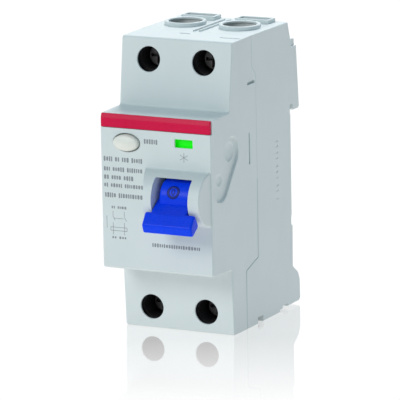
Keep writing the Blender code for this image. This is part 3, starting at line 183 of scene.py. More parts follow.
def skin(name, rings):
    """Joins rings of points, given as (ring, point, xyz), into one closed surface with a face on each end."""
    here = np.arange(rings.shape[0] * rings.shape[1]).reshape(rings.shape[:2])
    nxt = np.roll(here, -1, 1)
    quads = np.stack([here[:-1], nxt[:-1], nxt[1:], here[1:]], -1).reshape(-1, 4)
    return surface(name, rings, [*quads.tolist(), here[0, ::-1].tolist(), here[-1].tolist()])


def ring_skin(name, rings):
    """Joins rings of points into a surface closed both ways, as a bent tube is."""
    here = np.arange(rings.shape[0] * rings.shape[1]).reshape(rings.shape[:2])
    nxt, up = np.roll(here, -1, 1), np.roll(here, -1, 0)
    return surface(name, rings, np.stack([here, nxt, np.roll(nxt, -1, 0), up], -1).reshape(-1, 4).tolist())


def tidy(mesh):
    """Joins doubled points and turns all faces outwards."""
    shape = bmesh.new()
    shape.from_mesh(mesh)
    bmesh.ops.remove_doubles(shape, verts=shape.verts, dist=TINY / 10)
    bmesh.ops.recalc_face_normals(shape, faces=shape.faces)
    shape.to_mesh(mesh)
    shape.free()


def turn_in(level, edge, inward):
    """Stops from an end face round its edge: a quarter circle of that radius. A negative edge flares outward."""
    turn = np.linspace(0, math.pi / 2, EDGE_STEPS + 1)
    return list(zip(level + inward * abs(edge) * (1 - np.cos(turn)), edge * (1 - np.sin(turn))))


def block_stops(low, high, edge):
    """Stops of a solid with both ends' edges rounded."""
    return [*turn_in(low, edge, 1), *turn_in(high, edge, -1)[::-1]]


def well_stops(face, depth, into, flare=0.0, floor=0.0):
    """Stops of a cutter that enters a face: flared at the mouth, and rounded at the floor."""
    stops = [(face - into * PAST, -flare), *(turn_in(face, -flare, into) if flare else [(face, 0)])]
    bottom = face + into * depth
    return stops + (turn_in(bottom, floor, -into)[::-1] if floor else [(bottom, 0)])


def column(name, line, axis, stops, tilt=(0.0, 0.0)):
    """A softened outline carried along an axis.

    At each stop, (level, inset), the ring is the outline moved in along its normals by the inset.
    The tilt, (slope, zero), leans every ring to lie along a sloping face.
    """
    points, normals, give = line
    level, inset = np.array(stops, float).T
    flat = points[None] - (inset[:, None] * give[None])[..., None] * normals[None]
    return skin(name, lay(axis, flat[..., 0], flat[..., 1], level[:, None] + tilt[0] * (flat[..., 1] - tilt[1])))


def turned(name, axis, centre, stops, sides=64, tilt=(0.0, 0.0)):
    """Ovals carried along an axis: each stop is (level, half width, half height)."""
    angle = 2 * math.pi * (np.arange(sides) + 0.5) / sides
    level, wide, tall = np.array(stops, float).T
    u = centre[0] + wide[:, None] * np.cos(angle)
    v = centre[1] + tall[:, None] * np.sin(angle)
    return skin(name, lay(axis, u, v, level[:, None] + tilt[0] * (v - tilt[1])))


def oval(stops, wide, tall=None):
    """Turns (level, inset) stops into oval ones."""
    tall = wide if tall is None else tall
    return [(level, wide - inset, tall - inset) for level, inset in stops]


def block(name, x, y, z, corner=0.2 * MM, edge=0.0, axis="X"):
    """A rounded block between spans, carried along the axis."""
    spans = (x, y, z)
    first, second, along = AXES[axis]
    line = oblong(spans[first], spans[second], corner, max(edge, TINY))
    low, high = sorted(spans[along])
    return column(name, line, axis, block_stops(low, high, edge) if edge else [(low, 0), (high, 0)])


def combine(target, others, operation):
    """Cuts or joins the other shapes into target, and removes them."""
    for other in others:
        change = target.modifiers.new(operation.lower(), "BOOLEAN")
        change.operation, change.object, change.solver = operation, other, "EXACT"
        graph = bpy.context.evaluated_depsgraph_get()
        mesh = bpy.data.meshes.new_from_object(target.evaluated_get(graph))
        target.modifiers.clear()
        old, target.data = target.data, mesh
        bpy.data.meshes.remove(old)
        bpy.data.objects.remove(other)
    return target


def cut(target, *others):
    """Cuts the others out of target."""
    return combine(target, others, "DIFFERENCE")


def fuse(target, *others):
    """Joins the others on to target."""
    return combine(target, others, "UNION")


def gathered(name, *parts):
    """Several closed shapes that don't touch, as one object."""
    shape = bmesh.new()
    for part in parts:
        shape.from_mesh(part.data)
        bpy.data.objects.remove(part)
    mesh = bpy.data.meshes.new(name)
    shape.to_mesh(mesh)
    shape.free()
    return linked(name, mesh)


def around(middle, half):
    """A span from its middle."""
    return middle - half, middle + half


def mirrored(sign, low, high):
    """A span measured from the middle, on the side that sign gives."""
    return sorted((sign * low, sign * high))


def settle(made, body, slot, *nodes, turn=None):
    """Finishes a piece: clean, smooth with sharp edges, in its material, on its body and in place of its nodes."""
    if turn is not None:
        made.data.transform(turn)
    tidy(made.data)
    made.data.shade_smooth()
    made.data.set_sharp_from_angle(angle=SHARP)
    shade = made.modifiers.new("even_normals", "WEIGHTED_NORMAL")
    shade.keep_sharp, shade.weight = True, 100
    made.data.materials.clear()
    made.data.materials.append(finish(slot))
    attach(made, body)
    if nodes:
        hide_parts(*nodes)
    return made


# Finishes ------------------------------------------------------------------------------


class Nodes:
    """Adds nodes to a tree, each with its settings and what feeds it."""

    def __init__(self, tree):
        self.tree = tree

    def feed(self, socket, value):
        """Links a socket to a value that varies, or sets it; a colour gets its fourth number."""
        if isinstance(value, bpy.types.NodeSocket):
            self.tree.links.new(value, socket)
        else:
            socket.default_value = (*value, 1) if socket.type == "RGBA" else value

    def node(self, kind, inputs=None, **settings):
        """A node with its settings, and its inputs fed by name or place."""
        made = self.tree.nodes.new(kind)
        for key, value in settings.items():
            setattr(made, key, value)
        for key, value in (inputs or {}).items():
            self.feed(made.inputs[key], value)
        return made


class Graph(Nodes):
    """A material's nodes, added in the order that the surface is made."""

    def __init__(self, name):
        self.material = bpy.data.materials.new(name)
        self.material.use_nodes = True
        super().__init__(self.material.node_tree)
        self.shader = self.tree.nodes["Principled BSDF"]
        self.place = self.node("ShaderNodeTexCoord").outputs["Object"]

    def noise(self, size, detail=3.0, stretch=(1, 1, 1), rough=0.5):
        """Noise whose features are about `size` across, drawn out along an axis by stretch."""
        scaled = self.node("ShaderNodeMapping", {"Vector": self.place, "Scale": stretch})
        inputs = {"Vector": scaled.outputs["Vector"], "Scale": 1 / size, "Detail": detail, "Roughness": rough}
        return self.node("ShaderNodeTexNoise", inputs).outputs["Fac"]

    def between(self, value, low, high, start=0.3, end=0.7):
        """The value's span start to end, as the span low to high."""
        inputs = {"Value": value, "From Min": start, "From Max": end, "To Min": low, "To Max": high}
        return self.node("ShaderNodeMapRange", inputs, clamp=True).outputs["Result"]

    def blend(self, share, first, second):
        """One colour into another, by the share of the second. The node's inputs 6 and 7 are its colours."""
        return self.node("ShaderNodeMix", {"Factor": share, 6: first, 7: second}, data_type="RGBA").outputs[2]

    def bump(self, *layers):
        """Heights laid over each other: each layer is (value, height in metres, strength)."""
        normal = None
        for value, height, strength in layers:
            inputs = {"Height": value, "Distance": height, "Strength": strength}
            if normal is not None:
                inputs["Normal"] = normal
            normal = self.node("ShaderNodeBump", inputs).outputs["Normal"]
        self.tree.links.new(normal, self.shader.inputs["Normal"])

    def set(self, **values):
        """Feeds the shader's own sockets."""
        for key, value in values.items():
            self.feed(self.shader.inputs[key.replace("_", " ")], value)


def scaled(colour, factor):
    """A colour made lighter or darker."""
    return tuple(min(1.0, c * factor) for c in colour)


def moulded(name, colour, roughness, grain=0.00022, depth=4e-6, drift=0.05, shine=0.5):
    """Moulded plastic: slow drift of tone, faint flow streaks, a fine spark-eroded grain and a few scuffs."""
    g = Graph(name)
    slow = g.between(g.noise(0.018, 2.0), 0, 1)
    flow = g.between(g.noise(0.004, 4.0, (1, 1, 0.25), 0.6), 0, 1)
    tone = g.blend(slow, scaled(colour, 1 - drift), scaled(colour, 1 + drift / 2))
    g.set(Base_Color=g.blend(g.between(flow, 0, 0.35, 0.4, 0.9), tone, scaled(colour, 1 - 1.4 * drift)))
    fine = g.noise(grain, 2.0, rough=0.6)
    scuff = g.noise(0.0016, 5.0, (1, 1, 6), 0.7)
    g.set(Roughness=g.between(scuff, roughness - 0.06, roughness + 0.08, 0.35, 0.75))
    g.set(Specular_IOR_Level=shine)
    g.bump((fine, depth, 0.5), (scuff, 2 * depth, 0.25))
    return g.material


def metal(name, colour, roughness, tarnish):
    """Rolled or turned metal: fine lines along one axis, and patches where it has dulled."""
    g = Graph(name)
    patch = g.between(g.noise(0.003, 5.0, rough=0.65), 0, 1, 0.42, 0.7)
    g.set(Base_Color=g.blend(patch, colour, tarnish), Metallic=1.0)
    lines = g.noise(0.00012, 3.0, (0.04, 1, 1), 0.6)
    dull = g.between(patch, roughness, roughness + 0.2, 0, 1)
    g.set(Roughness=g.node("ShaderNodeMath", {0: g.between(lines, -0.08, 0.08), 1: dull}).outputs["Value"])
    g.bump((lines, 3e-6, 0.5), (patch, 6e-6, 0.2))
    return g.material


RIDGES = math.pi / 6.283  # the wave texture's scale, for a pitch of one


def wound(name, colour, pitch):
    """Enamelled wire laid side by side: rounded ridges whose spacing follows the pitch, with painted shade between the
    turns.
    """
    g = Graph(name)
    bands = {"Vector": g.place, "Scale": RIDGES / pitch, "Distortion": 0.15}
    wave = g.node("ShaderNodeTexWave", bands, bands_direction="Z", wave_profile="SIN").outputs["Fac"]
    tone = g.blend(g.noise(0.004, 3.0), colour, scaled(colour, 0.75))
    # The colour darkens towards the troughs of the ridges: this is painted shade between the wires, not a colour of the
    # wire.
    g.set(Base_Color=g.blend(g.between(wave, 0.75, 0, 0, 0.6), tone, scaled(colour, 0.2)), Metallic=0.85, Roughness=0.3)
    g.set(Coat_Weight=0.6, Coat_Roughness=0.1)
    g.bump((wave, 1.2e-4, 0.8))
    return g.material


def flag_finish(name, upper, lower, edge):
    """The flag's two fluorescent colours, which meet at a level, over a faint print grain; the glow that they give off
    is painted light.
    """
    g = Graph(name)
    height = g.node("ShaderNodeSeparateXYZ", {"Vector": g.place}).outputs["Z"]
    share = g.between(height, 0, 1, edge - 0.05 * MM, edge + 0.05 * MM)
    tone = g.blend(share, lower, upper)
    g.set(Base_Color=g.blend(g.between(g.noise(0.0005, 3.0), 0, 0.03), tone, (1, 1, 1)), Roughness=0.38)
    # The emission is a painted glow in the flag's own colours: it lifts the flag out of the shade of its window, though
    # the flag is no lamp.
    g.set(Specular_IOR_Level=0.15, Emission_Color=tone, Emission_Strength=0.35)
    g.bump((g.noise(0.0003), 3e-6, 0.4))
    return g.material


def board_finish(name, colour):
    """Lacquered board: straight tracks at a fixed pitch under the mask, a woven core and solder-bright dots."""
    g = Graph(name)
    flat = g.node("ShaderNodeMapping", {"Vector": g.place, "Rotation": (math.pi / 2, 0, 0)}).outputs["Vector"]
    bricks = {"Vector": flat, "Scale": 160.0, "Mortar Size": 0.06, "Mortar Smooth": 0.2}
    bricks |= {"Brick Width": 0.9, "Row Height": 0.35}
    track = g.node("ShaderNodeTexBrick", bricks).outputs["Fac"]
    dots = g.node("ShaderNodeTexVoronoi", {"Vector": flat, "Scale": 420.0}, feature="F1").outputs["Distance"]
    pads = g.between(dots, 1, 0, 0.16, 0.2)
    base = g.blend(track, colour, scaled(colour, 1.9))
    g.set(Base_Color=g.blend(pads, base, (0.6, 0.6, 0.58)), Metallic=g.between(pads, 0, 0.9, 0, 1), Roughness=0.32)
    g.set(Coat_Weight=0.5, Coat_Roughness=0.15)
    g.bump((track, 3e-5, 0.6), (pads, 6e-5, 0.5), (g.noise(0.0006, 2.0), 5e-6, 0.3))
    return g.material


def banded(name, colour, band, pitch):
    """A lacquered component: a glossy body with darker printed bands."""
    g = Graph(name)
    bands = {"Vector": g.place, "Scale": RIDGES / pitch}
    wave = g.node("ShaderNodeTexWave", bands, bands_direction="X").outputs["Fac"]
    tone = g.blend(g.between(wave, 0, 1, 0.72, 0.78), colour, band)
    g.set(Base_Color=g.blend(g.between(g.noise(0.001), 0, 0.25), tone, scaled(colour, 0.6)), Roughness=0.28)
    g.set(Coat_Weight=0.6, Coat_Roughness=0.08)
    g.bump((g.noise(0.0008), 2e-5, 0.4))
    return g.material


def sleeve(name, colour):
    """Wire insulation: drawn lengthwise, slightly waxy, with handling marks."""
    g = Graph(name)
    marks = g.noise(0.0012, 4.0, rough=0.7)
    g.set(Base_Color=g.blend(g.between(marks, 0, 0.6), colour, scaled(colour, 1.8)))
    g.set(Roughness=g.between(marks, 0.35, 0.5))
    g.set(Sheen_Weight=0.15, Coat_Weight=0.2)
    g.bump((g.noise(0.0002, 2.0), 6e-6, 0.5), (marks, 2e-5, 0.3))
    return g.material


def finish(slot):
    """The material of one slot or print, made once. Its name differs from those that come with the frame."""
    label = f"{slot}_finish"
    found = bpy.data.materials.get(label)
    if found:
        return found
    c = bpy.context.scene.device_colours
    makers = {
        "housing_plastic": lambda: moulded(label, c.housing, 0.45, drift=0.02, shine=0.3),
        "strip_red": lambda: moulded(label, c.strip, 0.3, 0.4 * MM, 2e-6, 0.06, 0.12),
        "toggle_blue": lambda: moulded(label, c.toggle, 0.3, 0.5 * MM, 2e-6, 0.1, 0.12),
        "toggle_mark": lambda: moulded(label, c.mark, 0.35, 0.4 * MM, 2e-6, 0.1, 0.2),
        "button_white": lambda: moulded(label, c.button, 0.4, 0.3 * MM, 3e-6, 0.03),
        "print_grey": lambda: moulded(label, c.print_ink, 0.5, 0.2 * MM, 3e-6, 0.1),
        "flag_green": lambda: flag_finish(label, c.flag_on, c.flag_off, FLAG_EDGE_Z),
        "black_plastic": lambda: moulded(label, (0.012, 0.012, 0.014), 0.5, 0.3 * MM, 8e-6, 0.2),
        "steel": lambda: metal(label, (0.62, 0.63, 0.64), 0.26, (0.42, 0.41, 0.39)),
        # Dark steel is partly its own colour and partly painted shade: it was taken darker still so that the screws
        # deep in the terminal holes look as dark as the shade there.
        "dark_steel": lambda: metal(label, (0.14, 0.14, 0.145), 0.4, (0.06, 0.058, 0.056)),
        "copper": lambda: wound(label, (0.62, 0.26, 0.12), 0.35 * MM),
        "sheet_copper": lambda: metal(label, (0.8, 0.42, 0.27), 0.27, (0.42, 0.2, 0.12)),
        "silver": lambda: metal(label, (0.86, 0.85, 0.82), 0.24, (0.5, 0.48, 0.44)),
        "board_green": lambda: board_finish(label, (0.012, 0.16, 0.07)),
        "component_blue": lambda: banded(label, (0.06, 0.16, 0.5), (0.02, 0.02, 0.02), 1.2 * MM),
        "core_metal": lambda: wound(label, (0.32, 0.33, 0.35), 0.2 * MM),
        "lead_blue": lambda: sleeve(label, (0.015, 0.08, 0.36)),
    }
    return makers[slot]()


# Housing -------------------------------------------------------------------------------

CLOSED_RADIUS = 0.05  # of the parting line's edges where it is shut. These radii are in millimetres
FRONT_LINE = [
    (SEAM_TOP_Y, TOP),
    (SHOULDER_Y + LEAN_TOP, TOP),
    (SHOULDER_Y, NOSE_TOP + NOSE_DRAFT),
    (FRONT_Y, NOSE_TOP),
    (FRONT_Y, -NOSE_TOP),
    (SHOULDER_Y, -NOSE_TOP - 2 * NOSE_DRAFT),
    (SHOULDER_Y + LEAN_BOTTOM, -TOP),
    (SEAM_LOW_Y, -TOP),
]
FRONT_RADII = [CLOSED_RADIUS, 0.9, 0.7, 0.35, 0.8, 0.5, 0.8, 0.12]
SEAM_LINE = [
    (SEAM_LOW_Y, SEAM_LOW_Z),
    (SEAM_MID_Y, SEAM_LOW_Z + SEAM_STEP),
    (SEAM_MID_Y, SEAM_MARK_Z - SEAM_MARK_RISE),
    (SEAM_MID_Y, SEAM_MARK_Z),
    (SEAM_MID_Y, SEAM_HIGH_Z),
    (SEAM_TOP_Y, SEAM_HIGH_Z + SEAM_STEP),
]
SEAM_RADII = [0.3, 0.3, 0.3, CLOSED_RADIUS, CLOSED_RADIUS, CLOSED_RADIUS]
SLOPES = {
    1: (LEAN_TOP / (TOP - NOSE_TOP - NOSE_DRAFT), NOSE_TOP + NOSE_DRAFT),
    -1: (-LEAN_BOTTOM / (TOP - NOSE_TOP - 2 * NOSE_DRAFT), -NOSE_TOP - 2 * NOSE_DRAFT),
}
SCREW_HOLE_R = 3.65 * MM
HOLE_LIP, HOLE_RELIEF = 0.3 * MM, 0.8 * MM  # the holes widen behind a thin lip
BOSS_R = 7.6 * MM
BOSS_LEFT, BOSS_FOOT, BOSS_STEP = -0.3 * MM, 2.9 * MM, 0.3 * MM  # left end, its slope, and the step at the right
BOSS_ROOT = 0.8 * MM
DRUM_R = 6.1 * MM
DRUM_X = (2.4 * MM, 13.4 * MM)
TOGGLE_X = 7.9 * MM
AXLE_R = 1.1 * MM
AXLE_LOW_X, AXLE_HIGH_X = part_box("toggle_axle")[0].x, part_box("toggle_axle")[1].x
BUTTON_X, BUTTON_Z = -9.2 * MM, 14.5 * MM
BUTTON_HALF = (4.0 * MM, 2.4 * MM)
WINDOW_X, WINDOW_Z = (6.1 * MM, 11.8 * MM), (14.2 * MM, 16.65 * MM)
FLAG_EDGE_Z = WINDOW_Z[1] + 0.35 * MM
STRIP_Z = (18.65 * MM, NOSE_TOP)
STRIP_SEAT = 0.9 * MM
COUPLING = ((-39.1 * MM, 11.0 * MM), (-45.9 * MM, 2.6 * MM), 4.6 * MM)  # upper and lower middles, and the radius
DIMPLES = ((0.4 * MM, 2.9 * MM, 0.5 * MM), (1.8 * MM, 1.9 * MM, 0.35 * MM))  # rise over its middle, radius, depth
MARK_CORNER = 0.15 * MM
SIDE_POCKETS = (
    ("side_slot", (-27.7 * MM, -27.0 * MM), (5.5 * MM, 14.7 * MM)),
    ("side_dash", (-28.2 * MM, -23.4 * MM), (28.6 * MM, 29.4 * MM)),
)
TOP_POCKETS = (
    ("pocket_left", (-3.4 * MM, -0.1 * MM), (-29.4 * MM, -28.5 * MM)),
    ("pocket_right", (10.6 * MM, 17.0 * MM), (-31.8 * MM, -30.9 * MM)),
)
WINDOW_LIP, WINDOW_ROOM = 0.5 * MM, (0.9 * MM, 0.7 * MM)


def bore(name, place, span, radius, count=24):
    """A straight round cutter along X."""
    return turned(name, "X", place, [(x, radius, radius) for x in span], count)


def side_line(corners, edge):
    """A softened outline from (y, z, radius) corners in millimetres."""
    return outline([(y * MM, z * MM) for y, z, _ in corners], [r * MM for *_, r in corners], edge)


def boss_line():
    """The boss's section: a half circle whose foot runs into the panel in a hollow arc, closed inside the wall."""
    foot_z = math.sqrt((BOSS_R + BOSS_ROOT) ** 2 - BOSS_ROOT**2)
    lean = math.atan2(foot_z, BOSS_ROOT)
    hollow = np.linspace(0, lean, 8)
    foot = np.stack([FRONT_Y - BOSS_ROOT + BOSS_ROOT * np.cos(hollow), foot_z - BOSS_ROOT * np.sin(hollow)], 1)
    foot_normal = np.stack([-np.cos(hollow), np.sin(hollow)], 1)
    arc = np.linspace(lean, -lean, 72)[1:-1]
    dome = np.stack([FRONT_Y - BOSS_R * np.cos(arc), BOSS_R * np.sin(arc)], 1)
    dome_normal = np.stack([-np.cos(arc), np.sin(arc)], 1)
    low, low_normal = foot[::-1] * (1, -1), foot_normal[::-1] * (1, -1)
    inside = np.array([(FRONT_Y + WALL / 2, -foot_z), (FRONT_Y + WALL / 2, foot_z)])
    points = np.concatenate([foot, dome, low, inside])
    normals = np.concatenate([foot_normal, dome_normal, low_normal, [(0.0, -1.0), (0.0, 1.0)]])
    give = np.ones(len(points))
    give[-2:] = 0
    return points, normals, give


def coupling_line():
    """The slanted pocket's outline: two half circles joined by straight sides."""
    high, low, radius = np.array(COUPLING[0]), np.array(COUPLING[1]), COUPLING[2]
    lean = math.atan2(*(high - low)[::-1])
    angle = lean + np.linspace(-math.pi / 2, math.pi / 2, 25)
    lobe = np.stack([np.cos(angle), np.sin(angle)], 1)
    return np.concatenate([high + radius * lobe, low - radius * lobe]), np.concatenate([lobe, -lobe]), np.ones(50)


def make_cover(sizes):
    """The cover: its side outline carried across the width, with the boss fused on and the openings cut in."""
    edge = sizes.edge_round
    radii = [r * MM for r in FRONT_RADII + SEAM_RADII]
    line = outline([*FRONT_LINE, *SEAM_LINE], radii, edge)
    shell = column("cover_shell", line, "X", block_stops(-SIDE, SIDE, edge))
    foot_x = BOSS_LEFT - BOSS_FOOT
    boss = column("boss", boss_line(), "X", block_stops(foot_x - PAST, SIDE - BOSS_STEP, edge))
    beyond = FRONT_Y - BOSS_R - PAST
    slope = BOSS_FOOT * (BOSS_R + PAST) / BOSS_R
    wedge = [(foot_x, FRONT_Y), (foot_x + slope, beyond), (foot_x - 2 * PAST, beyond), (foot_x - 2 * PAST, FRONT_Y)]
    cut(boss, column("boss_end", outline(wedge, 0.05 * MM), "Z", [(z, 0) for z in around(0, 2 * BOSS_R)]))
    room = mitred([*FRONT_LINE, (0, -TOP), (0, TOP)], WALL)
    inside = column("room", outline(room, 0.3 * MM), "X", [(-INNER_SIDE, 0), (INNER_SIDE, 0)])
    fuse(shell, boss)
    slot_x = (DRUM_X[0] - FIT, DRUM_X[1] + FIT)
    slot_z = around(0, DRUM_R + SNUG)
    axle_x = (AXLE_LOW_X - SNUG, AXLE_HIGH_X + SNUG)
    cut(
        shell,
        inside,
        block("slot", slot_x, (FRONT_Y - 2 * BOSS_R, FRONT_Y), slot_z, 0.35 * MM, axis="Y"),
        bore("drum_room", (FRONT_Y, 0), slot_x, DRUM_R + FIT, 96),
        bore("axle_hole", (FRONT_Y, 0), axle_x, AXLE_R + SNUG),
    )
    mouth, depth = sizes.mouth_round, WALL + PAST
    button = oval(well_stops(FRONT_Y, depth, 1, mouth), *[half + FIT for half in BUTTON_HALF])
    behind = [
        (WINDOW_X[0] - WINDOW_ROOM[0], WINDOW_X[1] + WINDOW_ROOM[0]),
        (FRONT_Y + WINDOW_LIP, FRONT_Y + WALL + PAST),
        (WINDOW_Z[0] - WINDOW_ROOM[1], WINDOW_Z[1] + WINDOW_ROOM[1]),
    ]
    seat = [around(0, 2 * SIDE), (FRONT_Y - PAST, FRONT_Y + STRIP_SEAT), (STRIP_Z[0] - SNUG, 2 * TOP)]
    cut(
        shell,
        turned("button_hole", "Y", (BUTTON_X, BUTTON_Z), button),
        column("window", oblong(WINDOW_X, WINDOW_Z, 0.25 * MM), "Y", well_stops(FRONT_Y, depth, 1, mouth / 2)),
        block("seat", *seat, CLOSED_RADIUS * MM),
        block("window_room", *behind, axis="Y"),
    )
    lip = mouth + HOLE_LIP
    hole = [(SHOULDER_Y + lip, -HOLE_RELIEF), (SHOULDER_Y + depth, -HOLE_RELIEF)]
    hole = oval([*well_stops(SHOULDER_Y, lip, 1, mouth), *hole], SCREW_HOLE_R)
    for _, x in POLES:
        for _, up in ENDS:
            cut(shell, turned("access", "Y", (x, up * TERMINAL_Z), hole, tilt=SLOPES[up]))
    depth, soft = sizes.pocket_depth, sizes.pocket_depth * 0.4
    side, top = well_stops(SIDE, depth, -1, soft / 2), well_stops(TOP, 1.2 * depth, -1, soft / 6)
    marks = [column(name, oblong(y, z, MARK_CORNER), "X", side) for name, y, z in SIDE_POCKETS]
    marks += [
        turned("dimple", "X", (y, z + rise), dimple_stops(SIDE - depth, radius, bowl), 48)
        for (y, z), (rise, radius, bowl) in zip(COUPLING, DIMPLES)
    ]
    marks += [column(name, oblong(x, y, MARK_CORNER), "Z", top) for name, x, y in TOP_POCKETS]
    cut(shell, column("coupling_pocket", coupling_line(), "X", well_stops(SIDE, depth, -1, soft, soft)), *marks)
    return settle(shell, "housing", "housing_plastic", "front_cover")


def dimple_stops(face, radius, depth):
    """A shallow bowl in a face: its depth falls as the cosine of the way out."""
    turn = np.linspace(0, math.pi / 2, 7)
    reach = radius * np.cos(turn)
    reach[-1] = radius * 0.02
    return [(face + PAST / 3, radius, radius), *zip(face - depth * np.sin(turn), reach, reach)]


HOOK_TOP = 36.7 * MM
HOOK_INSET = 0.8 * MM
SHUT = 0.04  # millimetres, the parting line's gap where it is shut
COLLAR_R, CABLE_R, WELL_RELIEF = 6.1 * MM, 4.9 * MM, 0.7 * MM
FRAME_HALF, SLOT_HALF = 5.5 * MM, 4.7 * MM
NOTCH_DEPTH = 6.0 * MM
NOTCHES = (("front_notch", (-23.6 * MM, -19.9 * MM), 1.9 * MM), ("rear_notch", (-6.9 * MM, -3.2 * MM), 1.6 * MM))
CLIP_ROOM_Y, CLIP_ROOM_Z, BACK_ROOM_Y = -7.0 * MM, -12.75 * MM, -1.8 * MM
RIB_X, RIB_Y, RIB_HEIGHT = (0.6 * MM, 1.3 * MM), (-25.0 * MM, -5.0 * MM), 0.5 * MM
BAR_THICK, BAR_STEP, BAR_DEPTH = 0.28, 0.16, 0.14 * MM  # the first two in millimetres
BACK_LINE = [
    ((SEAM_LOW_Y + SEAM) / MM, -42.5, 0.12),
    (-8.6, -42.5, 0.2),
    (-8.6, -41.8, 0.1),
    (4.4, -41.8, 0.3),
    (5.2, -41.0, 0.3),
    (5.2, -35.3, 0.5),
    (4.0, -32.9, 0.6),
    (0.6, -30.5, 0.4),
    (0.6, -18.1, 0.1),
    (-0.3, -17.8, 0.1),
    (-0.3, -15.2, 0.05),
    (0.0, -15.2, 0.05),
    (0.0, 15.2, 0.05),
    (-0.3, 15.2, 0.05),
    (-0.3, 17.8, 0.1),
    (1.6, 17.8, 0.1),
    (1.6, 16.5, 0.3),
    (2.2, 15.9, 0.3),
    (5.5, 15.9, 0.3),
    (6.1, 16.5, 0.3),
    (4.5, 36.7, 0.4),
    (0.9, 36.7, 0.3),
    (-0.9, 42.5, 0.6),
    ((SEAM_TOP_Y + SHUT * MM) / MM, 42.5, 0.05),
]
EMBOSSED_Y = -9.5 * MM
EMBOSSED_BARS = (-8.4, -6.1, -4.6, -2.2, -0.4, 1.2, 3.6, 5.2, 7.0, 8.6)


def make_base(sizes):
    """The base: its side outline carried across the width, with collars and frames fused on and openings cut in."""
    edge = sizes.edge_round
    corners = [(y * MM, z * MM) for y, z, _ in BACK_LINE]
    radii = [r * MM for *_, r in BACK_LINE]
    shut = sizes.seam_high
    seam = [
        (SEAM_TOP_Y + shut, SEAM_HIGH_Z + SEAM_STEP),
        (SEAM_MID_Y + shut, SEAM_HIGH_Z),
        (SEAM_MID_Y + shut, SEAM_MARK_Z),
        (SEAM_MID_Y + SEAM, SEAM_MARK_Z - SEAM_MARK_RISE),
        (SEAM_MID_Y + SEAM, SEAM_LOW_Z + SEAM_STEP),
        (SEAM_LOW_Y + SEAM, SEAM_LOW_Z),
    ]
    line = outline([*corners, *seam], radii + [r * MM for r in SEAM_RADII[::-1]], edge)
    shell = column("base_shell", line, "X", block_stops(-SIDE, SIDE, edge))
    collar_top, rim, root = CAD_HIGH.z, sizes.collar_round, (TOP - WALL / 2, 0)
    for _, x in POLES:
        ring = oval([root, *turn_in(collar_top, rim, -1)[::-1]], COLLAR_R)
        frame_line = oblong(around(x, FRAME_HALF), (-7.0 * MM, -2.2 * MM), 0.4 * MM, 0.3 * MM)
        frame_stops = [root, *turn_in(collar_top, 0.3 * MM, -1)[::-1]]
        fuse(shell, turned("collar", "Z", (x, CABLE_Y), ring), column("busbar_frame", frame_line, "Z", frame_stops))
    rib_stops = [root, *turn_in(TOP + RIB_HEIGHT, 0.2 * MM, -1)[::-1]]
    for sign in (-1, 1):
        side_x, notch_x = (mirrored(sign, SIDE - way, 2 * SIDE) for way in (HOOK_INSET, NOTCH_DEPTH))
        hook_z = (HOOK_TOP - 2 * MM, HOOK_TOP + PAST)
        cut(
            shell,
            block("hook_inset", side_x, (1.2 * MM, 8 * MM), hook_z, 0.15 * MM),
            *[block(name, notch_x, y, (-TOP - PAST, -TOP + rise), 0.2 * MM) for name, y, rise in NOTCHES],
        )
        fuse(shell, column("barrier_rib", oblong(mirrored(sign, *RIB_X), RIB_Y, 0.2 * MM, 0.2 * MM), "Z", rib_stops))
    room = [
        (FRONT_Y, -TOP + WALL),
        (CLIP_ROOM_Y, -TOP + WALL),
        (CLIP_ROOM_Y, CLIP_ROOM_Z),
        (BACK_ROOM_Y, CLIP_ROOM_Z),
        (BACK_ROOM_Y, TOP - WALL),
        (FRONT_Y, TOP - WALL),
    ]
    cut(shell, column("room", outline(room, 0.3 * MM), "X", [(-INNER_SIDE, 0), (INNER_SIDE, 0)]))
    rim_low = collar_top - rim - 0.15 * MM
    well = [(rim_low, -WELL_RELIEF), (TOP - 4 * MM, -WELL_RELIEF)]
    well = oval([*well_stops(collar_top, collar_top - rim_low, -1, rim), *well], CABLE_R)
    for _, x in POLES:
        slot = oblong(around(x, SLOT_HALF), (-6.2 * MM, -3.0 * MM), 0.4 * MM)
        cut(
            shell,
            turned("cable_hole", "Z", (x, CABLE_Y), well),
            turned("cable_hole_low", "Z", (x, CABLE_Y), oval(well_stops(-TOP, 3 * MM, 1, rim), CABLE_R)),
            column("busbar_slot", slot, "Z", well_stops(collar_top, 5 * MM, -1, 0.25 * MM)),
        )
    channel_z = (-TOP - PAST, -18.1 * MM)
    bar_y, bar_stops = around(EMBOSSED_Y, 0.75 * MM), well_stops(SIDE, BAR_DEPTH, -1, 0.05 * MM)
    bars = [
        column("bar", oblong(bar_y, (z * MM, (z + BAR_THICK + BAR_STEP * (k % 3)) * MM), 0.1 * MM), "X", bar_stops)
        for k, z in enumerate(EMBOSSED_BARS)
    ]
    cut(
        shell,
        block("channel", around(0, 9.3 * MM), (-5.3 * MM, 8 * MM), channel_z, 0.15 * MM),
        block("groove", around(0, 10.5 * MM), (-5.3 * MM, -3.3 * MM), channel_z, 0.1 * MM),
        gathered("side_marks", *bars),
    )
    return settle(shell, "housing", "housing_plastic", "rear_base")


CLIP_BACK = 3.6 * MM
CLIP_HALF = 9 * MM
CLIP_LINE = (
    (-5.0, -40.8, 0.3), (-5.0, -18.4, 0.3), (1.3, -18.4, 0.1), (1.3, -16.4, 0.15), (1.7, -16.0, 0.15),
    (3.6, -18.8, 0.3), (3.6, -21.8, 0.5), (0.4, -23.6, 0.5), (0.4, -34.8, 0.5), (3.6, -36.6, 0.5), (3.6, -40.8, 0.5),
)
CLIP_GROOVES = (-26.0, -27.6, -29.2, -30.8, -32.4)


